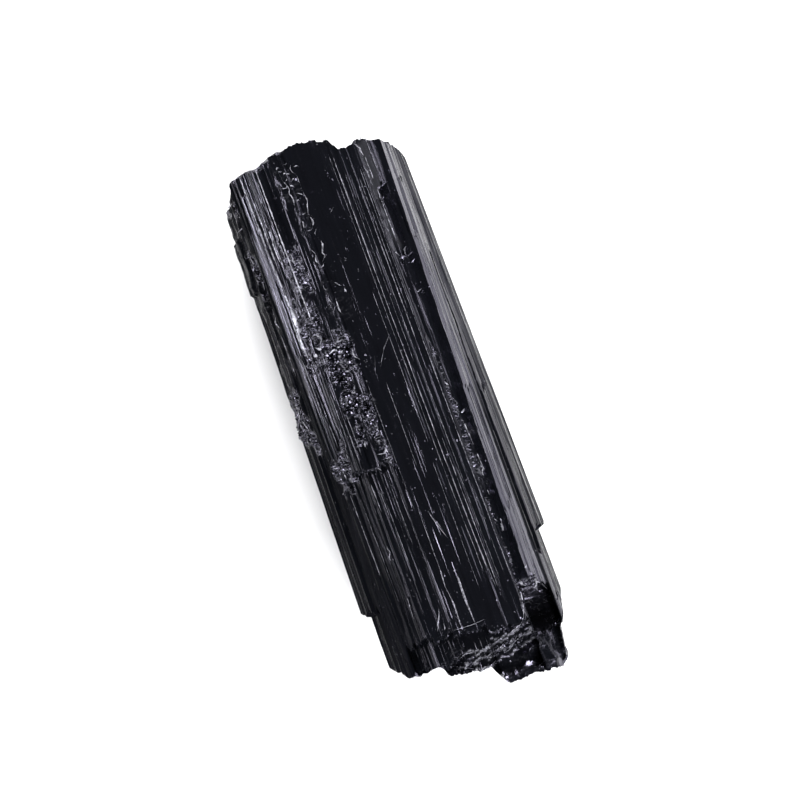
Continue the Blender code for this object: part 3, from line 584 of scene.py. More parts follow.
# The stone's finish. A noise has its size in millimetres, its detail and its roughness, and a range
# says which values become which.
CLOUD = ((2.5, 8.0, 2.5), 3.0, 0.6)
GRIT = ((0.24, 0.30, 0.24), 4.0, 0.75)
SPECKS = ((0.4, 0.7, 0.4), 2.0, 0.6)
SPECKS_RANGE = (0.66, 0.74, 0.0, 0.6)
CREASES = ((1.8, 0.8, 1.8), 3.0, 0.5)
TORN = ((0.8, 1.0, 0.8), 2.0, 0.6)
TORN_RANGE = (0.42, 0.58, 0.0, 1.0)
# Pale threads painted along the creases as highlights
THREAD_RANGE = (0.045, 0.005, 0.0, 1.0)
THREAD_HIGHLIGHT = 0.35
NEEDLE_LEANS = (  # size in millimetres and reach each way of hair-thin needles, and below of grains
    ((0.14, 9.0, 0.14), (4.5, 0.25, 4.5)),
    ((0.36, 18.0, 0.36), (1.4, 0.10, 1.4)),
)
GRAIN_LEANS = (
    ((0.34, 0.24, 0.34), (0.3, 0.3, 0.3)),
    ((1.50, 0.80, 1.50), (1.6, 1.6, 1.6)),
)
GRIT_STRENGTH = 0.25
GRIT_BUMP = 0.03 * MM
CREASE_BUMP = 1.8 * MM
UNSHADED_SPECULAR = 0.5  # specular level where no shade is painted
GLOSS_SPREAD = (-0.06, 0.08)  # how far the grit takes the roughness down and up on sound faces
DULL_SPREAD = (-0.10, 0.10)  # and on broken ones

# The stage. A light has the name of its brightness, its direction from the crystal, its distance, its
# width and its height.
LIGHTS = (
    ("left_light", (-1.0, 0.25, 0.13), 0.80, 0.80, 0.06),
    ("right_light", (1.0, 0.0, 0.16), 0.75, 0.80, 0.06),
    ("head_light", (0.20, 0.88, 0.42), 0.75, 0.70, 0.28),
    ("foot_light", (0.20, -0.88, 0.42), 0.75, 0.70, 0.28),
)
FLOOR_ROUGHNESS = 0.9
FLOOR_SPECULAR = 0.1
LOOK_AT = (1.27 * MM, 2.13 * MM, 13.0 * MM)
WALL_TOP = (0.04, 0.18)  # heights of a direction between which the pale walls give way to the dark ceiling
SEEN_WIDTH = 112 * MM  # what the picture's width covers at the height that the camera looks at


def section_corners(section):
    """A section's corners in metres, with the first one repeated."""
    return np.array(section + section[:1]) * (WIDTH / 2, HEIGHT)


CORNERS = section_corners(FOOT_SECTION)
HEAD_CORNERS = section_corners(HEAD_SECTION)
DISTANCE = np.concatenate([[0.0], np.cumsum(np.hypot(*np.diff(CORNERS, axis=0).T))])
ROUND = DISTANCE[-1]
CORE = np.array([0.0, CORE_UP * HEIGHT])


def on_section(place, along):
    """Across and up of places round the section: straight lines between its corners, which move
    evenly from the foot's section to the head's."""
    foot = [np.interp(place, DISTANCE, CORNERS[:, axis]) for axis in (0, 1)]
    head = [np.interp(place, DISTANCE, HEAD_CORNERS[:, axis]) for axis in (0, 1)]
    share = np.interp(along, np.array(SECTION_PLACES) * LENGTH / 2, (0, 1))
    return np.array([low + (high - low) * share for low, high in zip(foot, head)])


def round_to(upper, across):
    """The distance round the section to a place across, on its upper or its lower side."""
    if upper:
        part = slice(LEFT_CORNER, None, -1)
    else:
        part = slice(LEFT_CORNER, None)
    return np.interp(np.asarray(across) * WIDTH / 2, CORNERS[part, 0], DISTANCE[part])


def between(upper, left, right, place):
    """Which places round the section lie between two places across, on its upper or lower side."""
    first, last = sorted(round_to(upper, np.array([left, right])))
    if not upper and right >= 1:
        last = ROUND
    return (place >= first) & (place <= last)


def spaced(rng, start, end, spacing):
    """Places between start and end, at uneven steps."""
    places = [start]
    while places[-1] < end:
        places.append(places[-1] + rng.uniform(*spacing))
    return [place for place in places[1:] if place < end - spacing[0] / 2]


def ridge_profile(rng):
    """Places round the section and the skin's height at each, for every stretch between two breaks.

    Crests and furrow bottoms take turns. A crest's height is a whole number of steps below the
    face. A furrow's bottom lies below the lower of its two ridges, by its steepness times half the
    gap between them."""
    upper = round_to(True, np.array(CRESTS))
    rest = sorted(round_to(False, np.array(REST_STRIP)))
    left = spaced(rng, upper[-1], rest[0], LOWER_SPACING)
    right = spaced(rng, rest[1], ROUND, LOWER_SPACING)
    crest = np.array([*upper, *left, *rest, *right])
    gap = np.diff(crest, append=crest[0] + ROUND)
    bottom = crest + gap * (0.5 + rng.uniform(-OFF_CENTRE, OFF_CENTRE, len(gap)))

    stretches = len(BREAKS) + 1
    change = rng.choice([-1, 1], (stretches, len(crest)))
    change = change * (rng.random((stretches, len(crest))) < STEP_CHANCE)
    step = np.zeros(len(crest))
    steps = []
    for row in change:
        step = np.clip(step + row, LOWEST_STEP, 0)
        steps.append(step)
    calm = between(True, *CALM_FACE, crest) | np.isin(crest, [0.0, DISTANCE[LEFT_CORNER]])
    resting = between(False, *REST_STRIP, crest)
    crest_height = np.array(steps) * STEP * np.where(calm, CALM_SHARE, 1.0) * ~resting

    depth = np.minimum(rng.uniform(*STEEPNESS, len(gap)) * gap / 2, DEEPEST)
    depth = depth * rng.uniform(FILLED, 1, (stretches, len(gap)))
    depth = depth * np.where(between(True, *CALM_FACE, bottom), CALM_SHARE, 1.0)
    lower = np.minimum(crest_height, np.roll(crest_height, -1, axis=1))
    bottom_height = (lower - depth) * ~between(False, *REST_STRIP, bottom)

    places = np.concatenate([crest, bottom % ROUND])
    order = np.argsort(places)
    return places[order], np.hstack([crest_height, bottom_height])[:, order]


def layer_share(layer, place, along):
    """How much of a layer's height the skin has: all of it inside, and a straight slope over its edges."""
    first, last = sorted(round_to(layer.upper, np.array([layer.left, layer.right])))
    if layer.right >= 1 and layer.upper:
        first -= 2 * EDGE_WIDTH
    if layer.right >= 1 and not layer.upper:
        last = ROUND + 2 * EDGE_WIDTH
    beside = np.minimum(place - first, last - place) / EDGE_WIDTH + 0.5
    within = np.minimum(along - layer.foot * LENGTH / 2, layer.head * LENGTH / 2 - along) / EDGE_WIDTH + 0.5
    return np.clip(beside, 0, 1) * np.clip(within, 0, 1)


def layer_height(layers, place, along):
    """How far layers raise or sink the skin at places round the section and along the crystal."""
    return sum(layer.height * layer_share(layer, place, along) for layer in layers)


def cells_round(size):
    """How many cells of about this size fit round the section."""
    return max(1, round(ROUND / size))


def lattice(place, along, width, length):
    """Places in cells of width round the section and length along it, and the number of cells round."""
    cells = cells_round(width)
    return place / ROUND * cells, (along + PAST * LENGTH / 2) / length, cells


def drift(rng, place, along, width, length, soft=True):
    """Values from -1 to 1 that drift over the skin.

    Random values at the corners of a lattice, joined along the crystal by a smooth step. Across,
    soft joins them by a smooth step too, and otherwise straight lines do, which leaves a crease."""
    p, q, cells = lattice(place, along, width, length)
    p, q = np.broadcast_arrays(p, q)
    table = rng.uniform(-1, 1, (int(PAST * LENGTH / length) + 3, cells))
    i, j = np.floor(q).astype(int), np.floor(p).astype(int)
    share_q, share_p = q - i, p - j
    share_q = share_q * share_q * (3 - 2 * share_q)
    if soft:
        share_p = share_p * share_p * (3 - 2 * share_p)
    j, j_next = j % cells, (j + 1) % cells
    low = table[i, j] + (table[i, j_next] - table[i, j]) * share_p
    high = table[i + 1, j] + (table[i + 1, j_next] - table[i + 1, j]) * share_p
    return low + (high - low) * share_q


def laths(rng, place, along, width, length):
    """Values from -1 to 1 that stay the same over each of many flat laths that lie side by side.

    The skin is cut into strips of even width, and each strip into laths of even length whose ends
    are shifted by a random share of it."""
    p, q, cells = lattice(place, along, width, length)
    p, q = np.broadcast_arrays(p, q)
    j = np.floor(p).astype(int) % cells
    i = np.floor(q + rng.random(cells)[j]).astype(int)
    return rng.uniform(-1, 1, (int(PAST * LENGTH / length) + 4, cells))[i, j]


def nearest_cell(rng, p, q, cells):
    """The point of a shaken lattice that is nearest to each place p and q, in sizes of a cell: its
    row, its column, and how far away it is each way. P repeats after a number of cells."""
    p, q = np.broadcast_arrays(p, q)
    start = np.floor(q.min()) - 2
    j, i = np.floor(p).astype(int), np.floor(q - start).astype(int)
    centre_p, centre_q = rng.random((2, i.max() + 3, cells))
    best = np.full((5, *p.shape), np.inf)
    for step_q in (-1, 0, 1):
        for step_p in (-1, 0, 1):
            row, column = i + step_q, (j + step_p) % cells
            away_p = p - (j + step_p + centre_p[row, column])
            away_q = q - start - (row + centre_q[row, column])
            here = np.array([away_p**2 + away_q**2, row, column, away_p, away_q])
            best = np.where(here[0] < best[0], here, best)
    _, row, column, away_p, away_q = best
    return row.astype(int), column.astype(int), away_p, away_q


def facets(rng, p, q, cells, tilt):
    """Heights of small flat facets at places p and q, in sizes of a cell: one facet round each point
    of a shaken lattice, at a random height up to 1 and with a random slope up to tilt."""
    row, column, away_p, away_q = nearest_cell(rng, p, q, cells)
    shape = (row.max() + 1, cells)
    height = rng.uniform(-1, 1, shape)[row, column]
    slope_p, slope_q = rng.uniform(-tilt, tilt, (2, *shape))[:, row, column]
    return height + slope_p * away_p + slope_q * away_q


def scoops(rng, p, q, cells):
    """Heights of the shell-shaped scoops that broken glass has: the squared distance to the nearest
    point of a shaken lattice, so that neighbours meet in sharp ridges."""
    _, _, away_p, away_q = nearest_cell(rng, p, q, cells)
    return away_p**2 + away_q**2


def crumbled(rng, place, along):
    """Shares of fine grains, of broad scoops and of dust that every place on the skin has.

    Each patch is full in its middle and fades over its edge, which wanders and has holes."""
    ragged = sum(share * drift(rng, place, along, width * MM, length * MM) for share, width, length in RAGGED)
    grains, broad, dust = np.zeros((3, *ragged.shape))
    across = on_section(place, along)[0]
    upper = place <= DISTANCE[LEFT_CORNER]
    for patch in PATCHES:
        inside_p = np.minimum(across - patch.left * WIDTH / 2, patch.right * WIDTH / 2 - across)
        inside_p = np.where(upper == patch.upper, inside_p, -WIDTH) / FADE_ACROSS
        inside_q = np.minimum(along - patch.foot * LENGTH / 2, patch.head * LENGTH / 2 - along) / FADE_ALONG
        full = np.clip(np.minimum(inside_p, inside_q) + EDGE_SHARE + ragged * RAGGEDNESS, 0, 1)
        grains = np.maximum(grains, full * patch.grains)
        broad = np.maximum(broad, full * patch.scoops)
        dust = np.maximum(dust, full * patch.dust)
    return grains, broad, dust


def column_places(profile_places):
    """Places round the section of the columns of points: every crest and furrow bottom of the
    profile, and even steps between them, which are finer on the upper side."""
    ends = np.append(profile_places[1:], profile_places[0] + ROUND)
    columns = []
    for start, end in zip(profile_places, ends):
        upper = start < DISTANCE[LEFT_CORNER]
        count = max(1, round((end - start) / (UPPER_SPACING if upper else LOWER_COLUMNS)))
        columns.append(np.linspace(start, end, count, endpoint=False))
    return np.concatenate(columns) % ROUND


def row_steps():
    """Places along of the rows of points, from end to end: they are as close as the table says."""
    shares, spacing = np.array(ROW_SPACING).T
    fine = np.linspace(-1, 1, ROW_SAMPLES)
    rows = np.diff(fine) * LENGTH / 2 / (np.interp(fine[1:], shares, spacing) * MM)
    count = np.concatenate([[0], np.cumsum(rows)])
    return np.interp(np.linspace(0, count[-1], round(count[-1]) + 1), count, fine) * LENGTH / 2


def end_slope(x, z, edge, recess, outward):
    """Where an end face lies at points of it, and how far below its upper edge they are: its edge as
    seen from above, less a slope towards the underside."""
    places, ends = np.array(edge).T
    top = np.interp(x, CORNERS[LEFT_CORNER::-1, 0], CORNERS[LEFT_CORNER::-1, 1])
    below = np.clip((top - z) / HEIGHT, 0, 1)
    seen = np.interp(x / (WIDTH / 2), places, ends) * LENGTH / 2
    return seen - outward * recess * below, below


def rim_places(rng, place, ridges, edge, recess, outward):
    """How far along the skin ends at each column: the end's edge where the ridges and layers have
    brought the column to, with a jag for each column."""
    past = outward * (1 + PAST) / 2 * LENGTH / 2
    section = on_section(place, outward * LENGTH / 2)
    away = section - CORE[:, None]
    x, z = section + away / np.hypot(*away) * (ridges + layer_height(LAYERS, place, past))
    slope, below = end_slope(x, z, edge, recess, outward)
    dropped = COLUMN_DROP / 2 * np.clip(below / DROP_BELOW, 0, 1)
    upper = place <= DISTANCE[LEFT_CORNER]
    reach = np.where(upper, slope + outward * recess * below, slope - outward * dropped)
    jag = sum(depth * np.abs(laths(rng, place, 0.0, width, LENGTH)) for depth, width in RIM_JAGS)
    return reach - outward * jag


def averaged(values):
    """A running mean over columns, which meet again at the right edge."""
    wrapped = np.concatenate([values[-SMOOTHED:], values, values[:SMOOTHED]])
    return np.convolve(wrapped, np.ones(SMOOTHED) / SMOOTHED, mode="same")[SMOOTHED:-SMOOTHED]


def rows_along(steps, foot, head):
    """Place along of each row at each column: straight across the middle, and bent towards each end
    so that the last row lies on its edge."""
    along = np.repeat(steps[:, None], len(foot), axis=1)
    for rim, outward in ((foot, -1), (head, 1)):
        even = averaged(rim)
        past = np.clip((outward * steps / (LENGTH / 2) - BEND_FROM) / (1 - BEND_FROM), 0, 1)[:, None]
        near = np.clip(1 - (LENGTH / 2 - outward * steps) / NEAR_END, 0, 1)[:, None]
        along += past * (even - outward * LENGTH / 2) + near * (rim - even)
    return along


def by_face(table, underside, place, across, along):
    """A table's value at each place: from face to face across, and from its foot's to its head's values
    along."""
    places, at_head, at_foot = np.array(table).T
    share = np.interp(along, np.array(CHANGE_ALONG) * LENGTH / 2, (0, 1))
    value = np.interp(across, places, at_foot) * (1 - share) + np.interp(across, places, at_head) * share
    return np.where(place > DISTANCE[LEFT_CORNER], underside, value)


def relief(rng, place, along, shaken):
    """Fine relief of the skin in metres, the four shares of the stone at each place, and the share of
    broad scoops there.

    The relief is a sum: striations at four widths, which are random lines of even width; flat laths
    with abrupt ends; where the skin crumbled, flakes, folds and scoops; and the edges of the tallest
    laths, whose ends follow the shaken places along."""
    across = on_section(place, along)[0] / (WIDTH / 2)
    striated = by_face(STRIATED, UNDERSIDE_STRIATED, place, across, along)
    weathered = by_face(PAINTED_SHADE, UNDERSIDE_PAINTED_SHADE, place, across, along)
    share, width, length = STRENGTH_DRIFT
    striated = striated * (1 + share * drift(rng, place, along, width * MM, length * MM))
    lines = sum(tall * drift(rng, place, along, width * MM, length * MM, soft)
                for tall, width, length, soft in STRIATIONS)
    steps = sum(tall * laths(rng, place, along, width * MM, length * MM)
                for tall, width, length in FLAT_LATHS)
    grains, broad, dust = crumbled(rng, place, along)
    striated = striated * np.clip(1 - broad, 0, 1)
    height = striated * (lines + steps)

    tall, width, length = FLAKES
    p, q, cells = lattice(place, along, width * MM, length * MM)
    height = height + tall * grains * facets(rng, p, q, cells, FLAKE_TILT)
    folds = sum(share * np.abs(drift(rng, place, along, width * MM, length * MM))
                for share, width, length in FOLDS)
    height = height - FOLD_DEPTH * grains * folds
    for depth, width, length in SCOOPS:
        p, q, cells = lattice(place, along, width * MM, length * MM)
        height = height + depth * broad * scoops(rng, p, q, cells)
    height = height - SCOOPS_SUNK * broad

    for edge in EDGES:
        middle = round_to(True, edge.across) + LATH_WANDER * drift(rng, place, along, ROUND, LATH_BEND)
        behind = middle - place
        if edge.height < 0:
            behind = -behind
        within = (shaken > edge.foot * LENGTH / 2) & (shaken < edge.head * LENGTH / 2)
        height += abs(edge.height) / MM * np.clip(1 - behind / edge.width, 0, 1) * ((behind > 0) & within)
    return height * MM, np.stack([grains, striated * (1 - grains), weathered * (1 - grains), dust]), broad


def ledges(rng, place, along, x):
    """How far the thin layers at the foot have dropped, one more step past each jagged, slanted end,
    and how pale the highlights painted on their edges are."""
    behind = []
    for end, slant in LEDGES:
        past = along - slant * x - end * LENGTH / 2
        for depth, width in LEDGE_JAGS:
            past = past + depth * laths(rng, place, along, width, LENGTH)
        behind.append(past)
    behind = np.array(behind)
    beside = between(True, *LEDGE_SIDES, place)
    worn = np.clip(1 - np.abs(behind) / LEDGE_RIM, 0, 1).max(axis=0) * beside
    worn = worn * np.clip(LEDGE_HIGHLIGHT_MEAN + drift(rng, place, along, *LEDGE_HIGHLIGHT_DRIFT), 0, 1)
    return LEDGE_DROP * (behind < 0).sum(axis=0) * beside, LEDGE_HIGHLIGHT * worn


def skin_rows(rng, profile_places, profile_heights, place):
    """Points of the side of the crystal as rows, columns and coordinates, and the shares of each.

    A point is the section, plus its outward direction times the sum of the ridges, the layers and
    the fine relief, and then goes straight down by the layers that are broken out."""
    ridges = np.array([np.interp(place, profile_places, row, period=ROUND) for row in profile_heights])
    across = on_section(place, 0.0)[0] / (WIDTH / 2)
    ridges *= np.where(place < DISTANCE[LEFT_CORNER], np.interp(across, *np.array(UPPER_RIDGES).T), 1.0)
    foot = rim_places(rng, place, ridges[0], FOOT_EDGE, FOOT_RECESS, -1)
    head = rim_places(rng, place, ridges[-1], HEAD_EDGE, HEAD_RECESS, 1)
    along = rows_along(row_steps(), foot, head)
    shaken = along + JAG * drift(rng, place, along, *JAG_DRIFT)
    shaken = shaken + JAG * laths(rng, place, along, JAG_LATH, LENGTH)
    moved = (place + LAYER_WANDER * drift(rng, place, along, *WANDER_DRIFT)) % ROUND

    band = np.searchsorted(profile_places[::2], place)
    stray = rng.uniform(-STRAY, STRAY, (len(BREAKS), band.max() + 1))[:, band]
    ends_layer = np.isin(BREAKS, np.array(sorted(LAYER_BREAKS)) * LENGTH / 2)
    stray[ends_layer[:, None] & (place <= DISTANCE[LEFT_CORNER])] = 0.0
    stretch = (shaken[None] > (BREAKS[:, None] + stray)[:, None]).sum(axis=0)

    section = on_section(place, along)
    outward = section - CORE[:, None, None]
    outward /= np.hypot(*outward)
    fine, shares, broad = relief(rng, place, along, shaken)
    fine = fine * ~between(False, *REST_STRIP, place)
    ridges = ridges[stretch, np.arange(len(place))] * np.clip(1 - broad, 0, 1)
    x, z = section + outward * (ridges + layer_height(LAYERS, moved, shaken) + fine)
    dropped, worn = ledges(rng, place, along, x)
    z = z + layer_height(SUNK, moved, shaken) - dropped

    hollow = layer_share(HOLLOW, moved, shaken)
    across = HOLLOW_MIDDLE[0] * WIDTH / 2 - x
    past = HOLLOW_MIDDLE[1] * LENGTH / 2 - along
    bowl = HOLLOW_FLOOR + HOLLOW_RISE * ((across / HOLLOW_HALF[0]) ** 2 + (past / HOLLOW_HALF[1]) ** 2)
    z = z + (np.minimum(bowl, z) - z) * hollow
    # The ledges' painted highlights join the dust in the last share
    shares[-1] = np.maximum(shares[-1], worn)
    shares = shares * (1 - hollow)
    shares[SHARES.index("broken")] += HOLLOW_BROKEN * hollow
    return np.stack([x, along, np.maximum(z, 0.0)], axis=-1), shares


def end_rings(rng, rim, edge, recess, outward):
    """Points of one end face as rings from its rim to a pole, and the shares of each.

    Across and up, a ring is the rim drawn in towards the middle. Along, it leaves the rim for the
    end's slope, less the drop of the broken columns: facets at two sizes."""
    share = (np.arange(1, END_RINGS + 1) / (END_RINGS + 1))[:, None]
    x = rim[:, 0] * (1 - share)
    z = CORE[1] + (rim[:, 2] - CORE[1]) * (1 - share)
    slope, below = end_slope(x, z, edge, recess, outward)
    drop = COLUMN_DROP / 2 * (1 + facets(rng, x / COLUMN_SIZE, z / COLUMN_SIZE, FACET_CELLS, COLUMN_TILT))
    drop += CHIP_DROP * facets(rng, x / CHIP_SIZE, z / CHIP_SIZE, FACET_CELLS, CHIP_TILT)
    drop *= np.clip(below / DROP_BELOW, 0, 1)
    leaves = np.clip(share / LEAVES_RIM, 0, 1)
    along = rim[:, 1] + (slope - outward * drop - rim[:, 1]) * leaves
    shares = np.array(END_SHARES)[:, None, None] * np.ones(x.shape)
    return np.stack([x, along, z], axis=-1), shares


def crystal_grid():
    """All points of the crystal's skin as a grid from pole to pole, the four shares of the stone at
    each, and the places round of its columns."""
    rng = np.random.default_rng(SEED)
    profile_places, profile_heights = ridge_profile(rng)
    place = column_places(profile_places)
    side, side_shares = skin_rows(rng, profile_places, profile_heights, place)
    foot, foot_shares = end_rings(rng, side[0], FOOT_EDGE, FOOT_RECESS, -1)
    head, head_shares = end_rings(rng, side[-1], HEAD_EDGE, HEAD_RECESS, 1)
    points = np.concatenate([foot[::-1], side, head])
    return points, np.concatenate([foot_shares[:, ::-1], side_shares, head_shares], axis=1), place


def closed_faces(rows, columns):
    """Faces of a grid of rows and columns that is closed round and has a pole past each end row."""
    corner = np.arange(rows * columns).reshape(rows, columns)
    beside = np.roll(corner, 1, axis=1)
    sides = np.stack([corner[:-1], beside[:-1], beside[1:], corner[1:]], axis=-1).reshape(-1, 4)
    foot_pole, head_pole = rows * columns, rows * columns + 1
    foot = np.stack([np.full(columns, foot_pole), beside[0], corner[0]], axis=-1)
    head = np.stack([np.full(columns, head_pole), corner[-1], beside[-1]], axis=-1)
    return sides.tolist() + foot.tolist() + head.tolist()


def stone_mesh(name, points, faces, shares):
    """A flat-shaded mesh of the stone, with its shares as attributes."""
    mesh = bpy.data.meshes.new(name)
    mesh.from_pydata(points.tolist(), [], faces)
    for attribute, share in zip(SHARES, shares):
        data = mesh.attributes.new(attribute, "FLOAT", "POINT").data
        data.foreach_set("value", share.ravel().astype(np.float32))
    mesh.polygons.foreach_set("use_smooth", np.zeros(len(mesh.polygons), bool))
    mesh.update()
    return mesh


def add_piece(mesh):
    """Shows a mesh of the stone as a piece that moves with the crystal's body."""
    mesh.materials.append(stone_material())
    piece = bpy.data.objects.new(mesh.name, mesh)
    bpy.context.scene.collection.objects.link(piece)
    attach(piece, "root")
    return piece


def turned(rng, count):
    """Random turns as matrices, from random unit quaternions."""
    quaternions = rng.normal(size=(4, count))
    w, x, y, z = quaternions / np.linalg.norm(quaternions, axis=0)
    return np.array([
        [1 - 2 * (y * y + z * z), 2 * (x * y - z * w), 2 * (x * z + y * w)],
        [2 * (x * y + z * w), 1 - 2 * (x * x + z * z), 2 * (y * z - x * w)],
        [2 * (x * z - y * w), 2 * (y * z + x * w), 1 - 2 * (x * x + y * y)],
    ]).transpose(2, 0, 1)


def chip_faces(count):
    """Faces of many separate six-sided chips."""
    return (BOX_FACES[None] + len(BOX_CORNERS) * np.arange(count)[:, None, None]).reshape(-1, 4).tolist()


def surface_height(points, place, x, y):
    """Height of the upper skin at points seen from above: that of the nearest point of its grid, and
    on by the slope across there."""
    upper = np.flatnonzero(place < DISTANCE[LEFT_CORNER])[1:-1]
    column = upper[np.abs(on_section(place[upper][:, None], y)[0] - x).argmin(axis=0)]
    row = np.abs(points[:, column, 1] - y).argmin(axis=0)
    before, here, after = (points[row, column + step] for step in (-1, 0, 1))
    slope = (after[:, 2] - before[:, 2]) / (after[:, 0] - before[:, 0])
    return here[:, 2] + np.clip(slope, -1, 1) * (x - here[:, 0])


def line_points(rng, points, place, line, shake, knot, uneven):
    """Points of a line as samples, three corners and coordinates. It runs from corner to corner of its
    path in even steps and turns aside by up to shake from knot to knot, where it also shrinks by up to
    the share uneven, but for one in its middle. It tapers off at both ends and thins out on steep
    walls. One corner stands above the skin, and the others are sunk in it."""
    corners = np.array(line.corners) * (WIDTH / 2, LENGTH / 2)
    distance = np.concatenate([[0], np.cumsum(np.hypot(*np.diff(corners, axis=0).T))])
    length = distance[-1]
    at = np.linspace(0, length, max(LEAST_SAMPLES, round(length / LINE_STEP)))
    knots = np.linspace(0, length, max(LEAST_KNOTS, round(length / knot)))
    path = np.stack([np.interp(at, distance, corners[:, axis]) for axis in (0, 1)])
    path = path + np.stack([np.interp(at, knots, rng.uniform(-shake, shake, len(knots))) for _ in path])
    ahead = np.gradient(path, axis=1)
    side = np.array([-ahead[1], ahead[0]]) / np.hypot(*ahead)
    widths = rng.uniform(1 - uneven, 1, len(knots))
    widths[len(knots) // 2] = 1
    swell = np.clip(np.interp(at, knots, widths), LEAST_WIDTH, 1)
    swell = swell * np.clip(np.minimum(at, length - at) / TAPER + TIP_WIDTH, 0, 1)
    skin = surface_height(points, place, *path)
    swell = swell * np.clip(STEEPEST - np.abs(np.gradient(skin, at)), WALL_WIDTH, 1)
    top = skin + LINE_RISE * line.width * swell + LINE_SUNK / 2
    rows = [np.stack([*path, top], axis=-1)]
    for share in (1, -1):
        x, y = path + side * share * line.width / 2 * swell
        height = np.minimum(surface_height(points, place, x, y), top) - LINE_SUNK
        rows.append(np.stack([x, y, height], axis=-1))
    return np.stack(rows, axis=1)


def bar_faces(samples, start):
    """Faces of a three-sided bar of samples that is closed at both ends, from its first corner's number."""
    corner = start + np.arange(samples * 3).reshape(samples, 3)
    beside = np.roll(corner, -1, axis=1)
    sides = np.stack([corner[:-1], corner[1:], beside[1:], beside[:-1]], axis=-1).reshape(-1, 4)
    return sides.tolist() + [corner[0].tolist(), corner[-1][::-1].tolist()]


def crumb_points(rng, points, broken, count):
    """Corners of the crumbs: each is a box with shaken corners, turned at random, whose middle lies
    on a random broken point of the skin, away from the ends."""
    rim = END_RINGS + CRUMB_FREE_ROWS
    weight = broken[rim:-rim].ravel() ** CRUMB_FOCUS
    chosen = rng.choice(len(weight), count, p=weight / weight.sum())
    middle = points[rim:-rim].reshape(-1, 3)[chosen]
    size = rng.uniform(*CRUMB_SIZE, (count, 1, 1)) * MM * rng.uniform(*CRUMB_STRETCH, (count, 1, 3))
    corners = BOX_CORNERS * size * rng.uniform(*CRUMB_SHAKE, (count, len(BOX_CORNERS), 3))
    return middle[:, None] + np.einsum("nij,nkj->nki", turned(rng, count), corners)


class Nodes:
    """Makes and joins the nodes of one material."""

    def __init__(self, material):
        self.tree = material.node_tree
        self.position = self.add("ShaderNodeTexCoord").outputs["Object"]

    def add(self, kind, *values, **settings):
        """A node with its settings, and its shown input sockets filled in order with links or values."""
        node = self.tree.nodes.new(kind)
        for name, value in settings.items():
            setattr(node, name, value)
        for socket, value in zip([socket for socket in node.inputs if socket.enabled], values):
            if isinstance(value, bpy.types.NodeSocket):
                self.tree.links.new(value, socket)
            elif value is not None:
                socket.default_value = value
        return node

    def made(self, *words, **settings):
        """The first shown output of such a node."""
        return [socket for socket in self.add(*words, **settings).outputs if socket.enabled][0]

    def cells(self, size):
        """The object's coordinates counted in cells of a size in millimetres."""
        return self.made("ShaderNodeVectorMath", self.position, tuple(1 / (side * MM) for side in size),
                         operation="MULTIPLY")

    def share(self, name):
        """One of the shares that the mesh has as an attribute."""
        return self.add("ShaderNodeAttribute", attribute_name=name).outputs["Fac"]

    def noise(self, size, detail, roughness):
        """Cloudy values from 0 to 1, of a size in millimetres."""
        return self.made("ShaderNodeTexNoise", self.cells(size), 1.0, detail, roughness)

    def leaning(self, size, reach, amount, rare):
        """How much the stone's face leans, as a vector: one random lean in each cell of a size in
        millimetres, times an amount. Rare takes the cube of it, so that few lean strongly."""
        texture = self.add("ShaderNodeTexVoronoi", self.cells(size), 1.0)
        colour = texture.outputs["Color"]
        centred = self.made("ShaderNodeVectorMath", colour, (0.5, 0.5, 0.5), operation="SUBTRACT")
        reached = self.made("ShaderNodeVectorMath", centred, reach, operation="MULTIPLY")
        if rare:
            squared = self.add("ShaderNodeVectorMath", centred, centred, operation="DOT_PRODUCT")
            amount = self.made("ShaderNodeMath", squared.outputs["Value"], amount, operation="MULTIPLY")
        scaled = self.add("ShaderNodeVectorMath", reached, operation="SCALE")
        self.tree.links.new(amount, scaled.inputs["Scale"])
        return scaled.outputs["Vector"]

    def mixed(self, kind, factor, first, second):
        """A mix of two colours or two numbers."""
        return self.made("ShaderNodeMix", factor, first, second, data_type=kind)


def stone_normal(nodes, striated, crumbly, grit, creased):
    """The stone's normal: its face's own, plus the leans of its needles and grains, and then bumped by
    its grit and by its creases."""
    leans = [nodes.leaning(size, reach, striated, rare=True) for size, reach in NEEDLE_LEANS]
    leans += [nodes.leaning(size, reach, crumbly, rare=False) for size, reach in GRAIN_LEANS]
    facing = nodes.add("ShaderNodeNewGeometry").outputs["Normal"]
    for lean in leans:
        facing = nodes.made("ShaderNodeVectorMath", facing, lean, operation="ADD")
    facing = nodes.made("ShaderNodeVectorMath", facing, operation="NORMALIZE")
    facing = nodes.made("ShaderNodeBump", GRIT_STRENGTH, GRIT_BUMP, None, grit, facing)
    return nodes.made("ShaderNodeBump", crumbly, CREASE_BUMP, None, creased, facing)


def painted_thread_highlights(nodes, crumbly, creased):
    """How pale the threads along the creases of crumbled stone are: highlights painted on. Noise tears them
    into short ones.
    """
    thread = nodes.made("ShaderNodeMapRange", creased, *THREAD_RANGE)
    torn = nodes.made("ShaderNodeMapRange", nodes.noise(*TORN), *TORN_RANGE)
    frayed = nodes.made("ShaderNodeMath", thread, torn, operation="MULTIPLY")
    frayed = nodes.made("ShaderNodeMath", frayed, crumbly, operation="MULTIPLY")
    return nodes.made("ShaderNodeMath", frayed, THREAD_HIGHLIGHT, operation="MULTIPLY")


